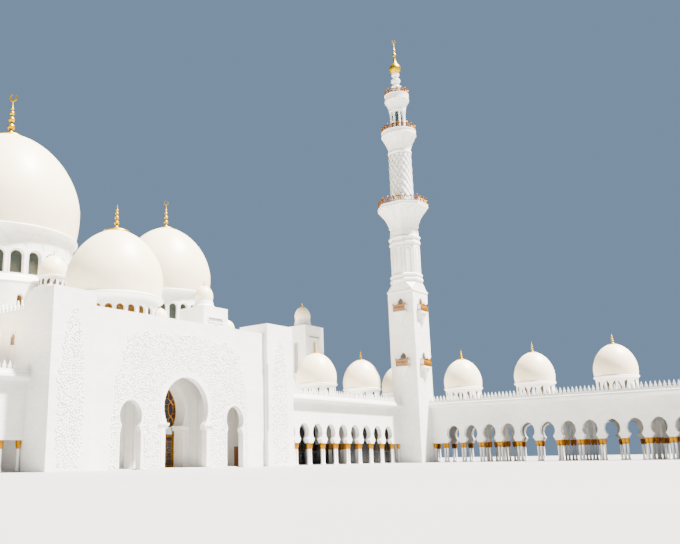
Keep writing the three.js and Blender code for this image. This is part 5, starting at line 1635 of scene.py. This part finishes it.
def flare(name, sides, foot_radius, foot, reach, lip, deck, kerb, hole, turn, replaces):
    """A balcony: a flared underside up to its lip, a banded kerb round it, and the deck inside the kerb."""
    scoop = [(flare_radius(i / 8, foot_radius, reach), foot + (lip - foot) * i / 8) for i in range(9)]
    inside = next(r for r, z in reversed(scoop) if z < deck - 0.1) - 0.05
    profile = [(hole, foot)] + scoop + [
        (reach + 0.1, lip + 0.08), (reach + 0.1, lip + 0.26), (reach, lip + 0.34), (reach, kerb - 0.28),
        (reach + 0.1, kerb - 0.2), (reach + 0.1, kerb), (reach - 0.35, kerb), (reach - 0.35, lip + 0.1),
        (inside, deck),
        (hole, deck)]
    piece(name, [at_minaret(lathe(profile, sides, (0, 0), turn))], MARBLE, replaces=replaces, crease=25)


def corbel_arches(name, count, foot_radius, foot, reach, lip, flat):
    """Pointed ribs that fan out under a balcony and meet as small arches below its edge."""
    ribs = []
    for way in (-1, 1):
        route = []
        for i in range(9):
            share = 0.25 + 0.72 * i / 8
            spread = way * (math.pi / count) * min(max((share - 0.6) / 0.36, 0.0), 1.0) ** 1.6
            r = flare_radius(share, foot_radius, reach)
            if flat:
                within_side = (spread + math.pi / 8) % (math.pi / 4) - math.pi / 8
                r *= math.cos(math.pi / 8) / math.cos(within_side)
            route.append((r * math.sin(spread), -r * math.cos(spread), foot + (lip - foot) * share))
        ribs.append(tube(route, reach * 0.018, 5))
    ring_of(name, ribs, MARBLE, count, (MINARET_X, MINARET_Y))


def railing(name, count, radius, foot, height, flat_sides):
    """A gilded railing: panels of pierced scrolls between posts with ball tops."""
    half = math.pi / count
    if flat_sides:
        reach = radius * math.cos(math.pi / 8)
        width = reach * math.tan(math.pi / 8) * 2 / (count / 8)
    else:
        reach, width = radius, 2 * radius * math.sin(half)
    w = width / 2 - 0.04
    bars = [box((-w, w), (-0.05, 0.05), (foot + 0.08, foot + 0.2)),
            box((-w, w), (-0.06, 0.06), (foot + height - 0.16, foot + height))]
    bars.append(tube([(x, 0.0, z) for x, z in arc(0, foot + height / 2, height * 0.27, 0, 345, 12)], 0.035,
                     4, True))
    for way in (-1, 1):
        bars.append(tube([(way * w * 0.95, 0, foot + 0.15), (way * w * 0.35, 0, foot + height / 2),
                          (way * w * 0.95, 0, foot + height - 0.12)], 0.035, 4))
        bars.append(tube([(way * w * 0.3, 0, foot + 0.15), (way * w * 0.62, 0, foot + height / 2),
                          (way * w * 0.3, 0, foot + height - 0.12)], 0.03, 4))
    post = lathe([(0, foot), (0.11, foot), (0.11, foot + height), (0.17, foot + height + 0.05),
                  (0.17, foot + height + 0.2), (0.05, foot + height + 0.38), (0, foot + height + 0.5)], 6)
    bars.append(moved(post, (width / 2, 0, 0)))
    if not flat_sides:
        unit = [moved(bar, (0.0, -reach * math.cos(half), 0.0)) for bar in bars]
        ring_of(name, unit, BRONZE_GILT, count, (MINARET_X, MINARET_Y))
        return
    per_side = count // 8
    unit = []
    for k in range(per_side):
        unit += [moved(bar, ((k - (per_side - 1) / 2) * width, -reach, 0.0)) for bar in bars]
    ring_of(name, unit, BRONZE_GILT, 8, (MINARET_X, MINARET_Y))


def minaret_upper():
    """The balconies, railings, round shaft, lantern and top of the minaret."""
    turn = math.pi / 8
    flare("minaret_first_balcony_stone", 8, 3.55, 55.33, 6.1, 60.0, 59.15, 60.95, 2.85, turn,
          ("minaret_first_balcony",))
    corbel_arches("minaret_first_corbels", 16, 3.55, 55.33, 6.1, 60.0, True)
    railing("minaret_first_railing", 24, 5.95, 60.95, 1.3, True)
    shaft = [(1.9, 55.33), (2.95, 55.33), (2.95, 60.6), (2.8, 60.9), (2.8, 61.4), (2.95, 61.6), (2.95, 61.9),
             (2.78, 62.2),
             (2.74, 74.6), (2.9, 74.8), (2.9, 75.1), (2.74, 75.4), (1.9, 75.4)]
    piece("minaret_round_stage", [at_minaret(lathe(shaft, 48))], MARBLE, replaces=("minaret_round_shaft",))
    shaft_lattice()
    flare("minaret_second_balcony_stone", 48, 2.74, 75.42, 4.2, 79.3, 79.5, 80.6, 1.9, 0.0, ())
    corbel_arches("minaret_second_corbels", 16, 2.74, 75.42, 4.2, 79.3, False)
    railing("minaret_second_railing", 20, 4.08, 80.6, 1.1, False)
    lantern()
    top_stage()


def shaft_lattice():
    """Raised diamond lattice wound both ways round the shaft."""
    strands = []
    foot, top, radius = 62.6, 74.3, 2.79
    for way in (-1, 1):
        route = []
        for i in range(25):
            s = i / 24
            angle = way * s * math.pi * 0.82
            route.append((radius * math.sin(angle), -radius * math.cos(angle), foot + (top - foot) * s))
        strands.append(tube(route, 0.05, 4))
    ring_of("minaret_shaft_lattice", strands, GREY_INLAY_AND_RECESS_SHADE, 14, (MINARET_X, MINARET_Y))


def lantern():
    """The lantern's columns and the glass drum behind them."""
    floor, sill, head, top = 79.62, 81.6, 86.05, 86.4
    base = [(0.0, floor), (2.0, floor), (2.0, sill - 0.4), (2.15, sill - 0.25), (2.15, sill), (0.0, sill)]
    ring = [(0.0, head), (1.95, head), (2.1, head + 0.15), (2.1, top), (0.0, top)]
    core = [(0.0, sill), (1.1, sill), (1.1, head), (0.0, head)]
    piece("minaret_lantern_stone", [at_minaret(lathe(base, 32)), at_minaret(lathe(ring, 32))], MARBLE,
          replaces=("minaret_lantern",))
    piece("minaret_lantern_core", [at_minaret(lathe(core, 16))], TEAL_GLASS)
    column = lathe([(0.0, sill), (0.34, sill), (0.34, sill + 0.15), (0.26, sill + 0.3), (0.24, head - 0.4),
                    (0.34, head - 0.15), (0.34, head), (0.0, head)], 12)
    ring_of("minaret_lantern_columns", [moved(column, (0, -1.72, 0))], MARBLE, 8, (MINARET_X, MINARET_Y))


def top_stage():
    """The top balcony with the collar below the minaret's finial."""
    profile = [(0.0, 86.43), (2.1, 86.43)]
    profile += [(2.1 + 0.9 * (i / 6) ** 1.7, 86.6 + 2.3 * i / 6) for i in range(7)]
    profile += [(3.05, 88.98), (3.05, 89.2), (2.97, 89.3), (2.97, 90.4), (3.05, 90.5), (3.05, 90.7),
                (2.75, 90.7), (2.75, 90.0), (1.15, 90.0), (1.05, 90.4), (1.05, 91.2), (0.85, 91.5),
                (0.8, 92.4)]
    profile += [(1.15, 92.7), (1.25, 93.0), (1.15, 93.3), (0.72, 93.6), (0.72, 94.2), (1.1, 94.5),
                (1.18, 94.8), (1.1, 95.1),
                (0.66, 95.4), (0.66, 96.0), (0.95, 96.3), (0.95, 96.78), (0.0, 96.78)]
    piece("minaret_top_stone", [at_minaret(lathe(profile, 48))], MARBLE, replaces=("minaret_top_balcony",))
    railing("minaret_top_railing", 16, 2.9, 90.7, 0.95, False)
    onion = [(0.0, 96.8), (0.8, 96.8), (0.95, 97.05)] + arc(0.0, 98.25, 1.45, -40, 48, 10) + [
        (0.62, 99.75), (0.38, 100.5), (0.28, 101.1), (0.26, 101.6), (0.42, 101.85), (0.5, 102.15),
        (0.42, 102.45), (0.22, 102.7),
        (0.2, 103.0), (0.33, 103.2), (0.36, 103.45), (0.28, 103.7), (0.14, 103.95), (0.1, 104.9),
        (0.0, 105.7)]
    piece("minaret_onion_finial",
          [at_minaret(lathe(onion, 40)), crescent((MINARET_X, MINARET_Y), 106.08, 0.44, math.radians(-50))],
          GOLD, replaces=("minaret_finial",))


def box_balconies():
    """Gilded railings, corbelled undersides and dark doorways of the eight box balconies."""
    half, reach = 1.55, 0.9
    face = -MINARET_HALF
    rails, stone, glass = [], [], []
    for level in (34.45, 21.6):
        for z in (level + 1.55, level + 0.3):
            for line in (
                [(-half, face, z), (-half, face - reach, z), (half, face - reach, z), (half, face, z)],
            ):
                rails.append(tube(line, 0.11, 5))
        for i in range(13):
            x = -half + 2 * half * i / 12
            rails.append(tube([(x, face - reach - 0.02, level - 0.1),
                               (x, face - reach - 0.02, level + 1.62)], 0.085, 4))
        for i in range(4):
            x = -half + 2 * half * (i + 0.5) / 4
            rails.append(tube([(a, face - reach - 0.03, b) for a,
                               b in arc(x, level + 0.92, 0.16, 0, 330, 8)], 0.05, 4, True))
            rails.append(tube([(a, face - reach - 0.03, b) for a,
                               b in arc(x, level + 0.92, 0.3, 0, 330, 10)], 0.06, 4, True))
        for x in (-half, 0.0, half):
            rails.append(moved(lathe([(0, level + 1.5), (0.16, level + 1.5), (0.18, level + 1.75),
                                      (0.06, level + 2.0), (0, level + 2.15)], 6), (x, face - reach, 0)))
        slab = [(-half - 0.08, level - 0.45), (half + 0.08, level - 0.45), (half + 0.08, level - 0.05),
                (-half - 0.08, level - 0.05)]
        stone.append(prism(slab, face - reach - 0.08, face + 0.05))
        for i, (w, d, z0,
                z1) in enumerate(((1.3, 0.78, 0.45, 0.95), (0.98, 0.6, 0.95, 1.5), (0.62, 0.42, 1.5, 2.2),
                                  (0.3, 0.24, 2.2, 3.1))):
            stone.append(prism([(-w * 0.75, level - z1), (w * 0.75, level - z1), (w, level - z0),
                                (-w, level - z0)], face - d, face + 0.05))
        outline = [(-0.75, level), (0.75, level)] + arc(0, level + 2.35, 0.75, 0, 180, 8, 1.35)
        glass.append(prism(outline, face + 0.25, face + 0.3))
        inner = [(-0.75, level)] + arc(0, level + 2.35, 0.75, 180, 0, 8, 1.35) + [(0.75, level)]
        outer = [(-0.95, level)] + arc(0, level + 2.35, 0.95, 180, 0, 8, 1.35) + [(0.95, level)]
        stone.append(band(inner, outer, face - 0.1, face + 0.02))
    ring_of("minaret_box_rails", rails, BRONZE_GILT, 4, (MINARET_X, MINARET_Y))
    ring_of("minaret_box_corbels", stone, MARBLE, 4, (MINARET_X, MINARET_Y))
    ring_of("minaret_box_doorways", glass, DARK_GLASS, 4, (MINARET_X, MINARET_Y))


# Stage, light and camera

# The lighting: strength of the sky, power of the sun and the way it stands in
SKY_STRENGTH = 0.52
KEY_POWER = 41.0
KEY_FROM = (0.22, -0.38, 0.9)
# The photograph as solved: its width, its middle column and its focal length, all in pixels
PHOTO_WIDTH, PHOTO_MIDDLE, PHOTO_FOCAL = 680, 279.194, 778.793
CAMERA_PLACE = (-8.5494, -9.1328, 0.1075)


def studio():
    """A plain pale floor, a pale blue world and one sun."""
    bpy.ops.mesh.primitive_plane_add(size=600.0, location=(0.0, 0.0, 0.0))
    floor = bpy.context.object
    floor.name = "studio_floor"
    floor.data.materials.append(STUDIO)
    world = bpy.data.worlds.new("studio")
    bpy.context.scene.world = world
    world.use_nodes = True
    world.node_tree.nodes["Background"].inputs["Color"].default_value = rgb("#A4C3EA")
    world.node_tree.nodes["Background"].inputs["Strength"].default_value = SKY_STRENGTH
    key = bpy.data.lights.new("key", "SUN")
    key.energy = KEY_POWER
    key.angle = math.radians(4)
    key.color = (1.0, 0.97, 0.92)
    lamp = bpy.data.objects.new("key", key)
    lamp.rotation_euler = Vector(KEY_FROM).to_track_quat("Z", "Y").to_euler()
    bpy.context.scene.collection.objects.link(lamp)


def camera():
    """The photograph's view, solved from the building's own lines."""
    yaw, pitch, roll = math.radians(50.119), math.radians(13.564), math.radians(-0.912)
    data = bpy.data.cameras.new("camera")
    data.sensor_width = 36.0
    data.lens = PHOTO_FOCAL / PHOTO_WIDTH * data.sensor_width
    data.shift_x = (PHOTO_WIDTH / 2 - PHOTO_MIDDLE) / PHOTO_WIDTH
    data.clip_start, data.clip_end = 0.05, 1000.0
    view = bpy.data.objects.new("camera", data)
    forward = Vector((math.sin(yaw) * math.cos(pitch), math.cos(yaw) * math.cos(pitch), math.sin(pitch)))
    look = (-forward).to_track_quat("Z", "Y").to_matrix()
    turned = (look @ Matrix.Rotation(roll, 3, "Z")).to_4x4()
    view.matrix_world = Matrix.Translation(CAMERA_PLACE) @ turned
    bpy.context.scene.collection.objects.link(view)
    bpy.context.scene.camera = view


def dress_cad():
    """Materials of the part's own solids that stay in view."""
    for name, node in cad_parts.items():
        node.data.materials.clear()
        if name == "floor_slab":
            node.data.materials.append(FLOOR_MARBLE)
        elif name in ("door_screen", "left_door_leaf", "right_door_leaf"):
            node.data.materials.append(BRONZE_GILT)
        elif name.endswith("finial"):
            node.data.materials.append(GOLD)
        # The arcades' back walls are greyed as painted shade inside the arcades
        elif "_back_" in name or name == "left_wing_back":
            node.data.materials.append(PAINTED_SHADE_MARBLE)
        else:
            node.data.materials.append(PANELS)


studio()
camera()
dress_cad()
main_dome()
side_dome("left", -1)
side_dome("right", 1)
foyer_dome()
turret_domes()
arcade_domes()
cornices()
parapets()
columns()
cross_walls()
wing_glazing()
carved_relief()
portal_trim()
door_screen()
door_leaf(-1, "left")
door_leaf(1, "right")
wall_windows()
turret_panels()
podium_domes()
minaret_square()
minaret_octagon()
minaret_upper()
box_balconies()
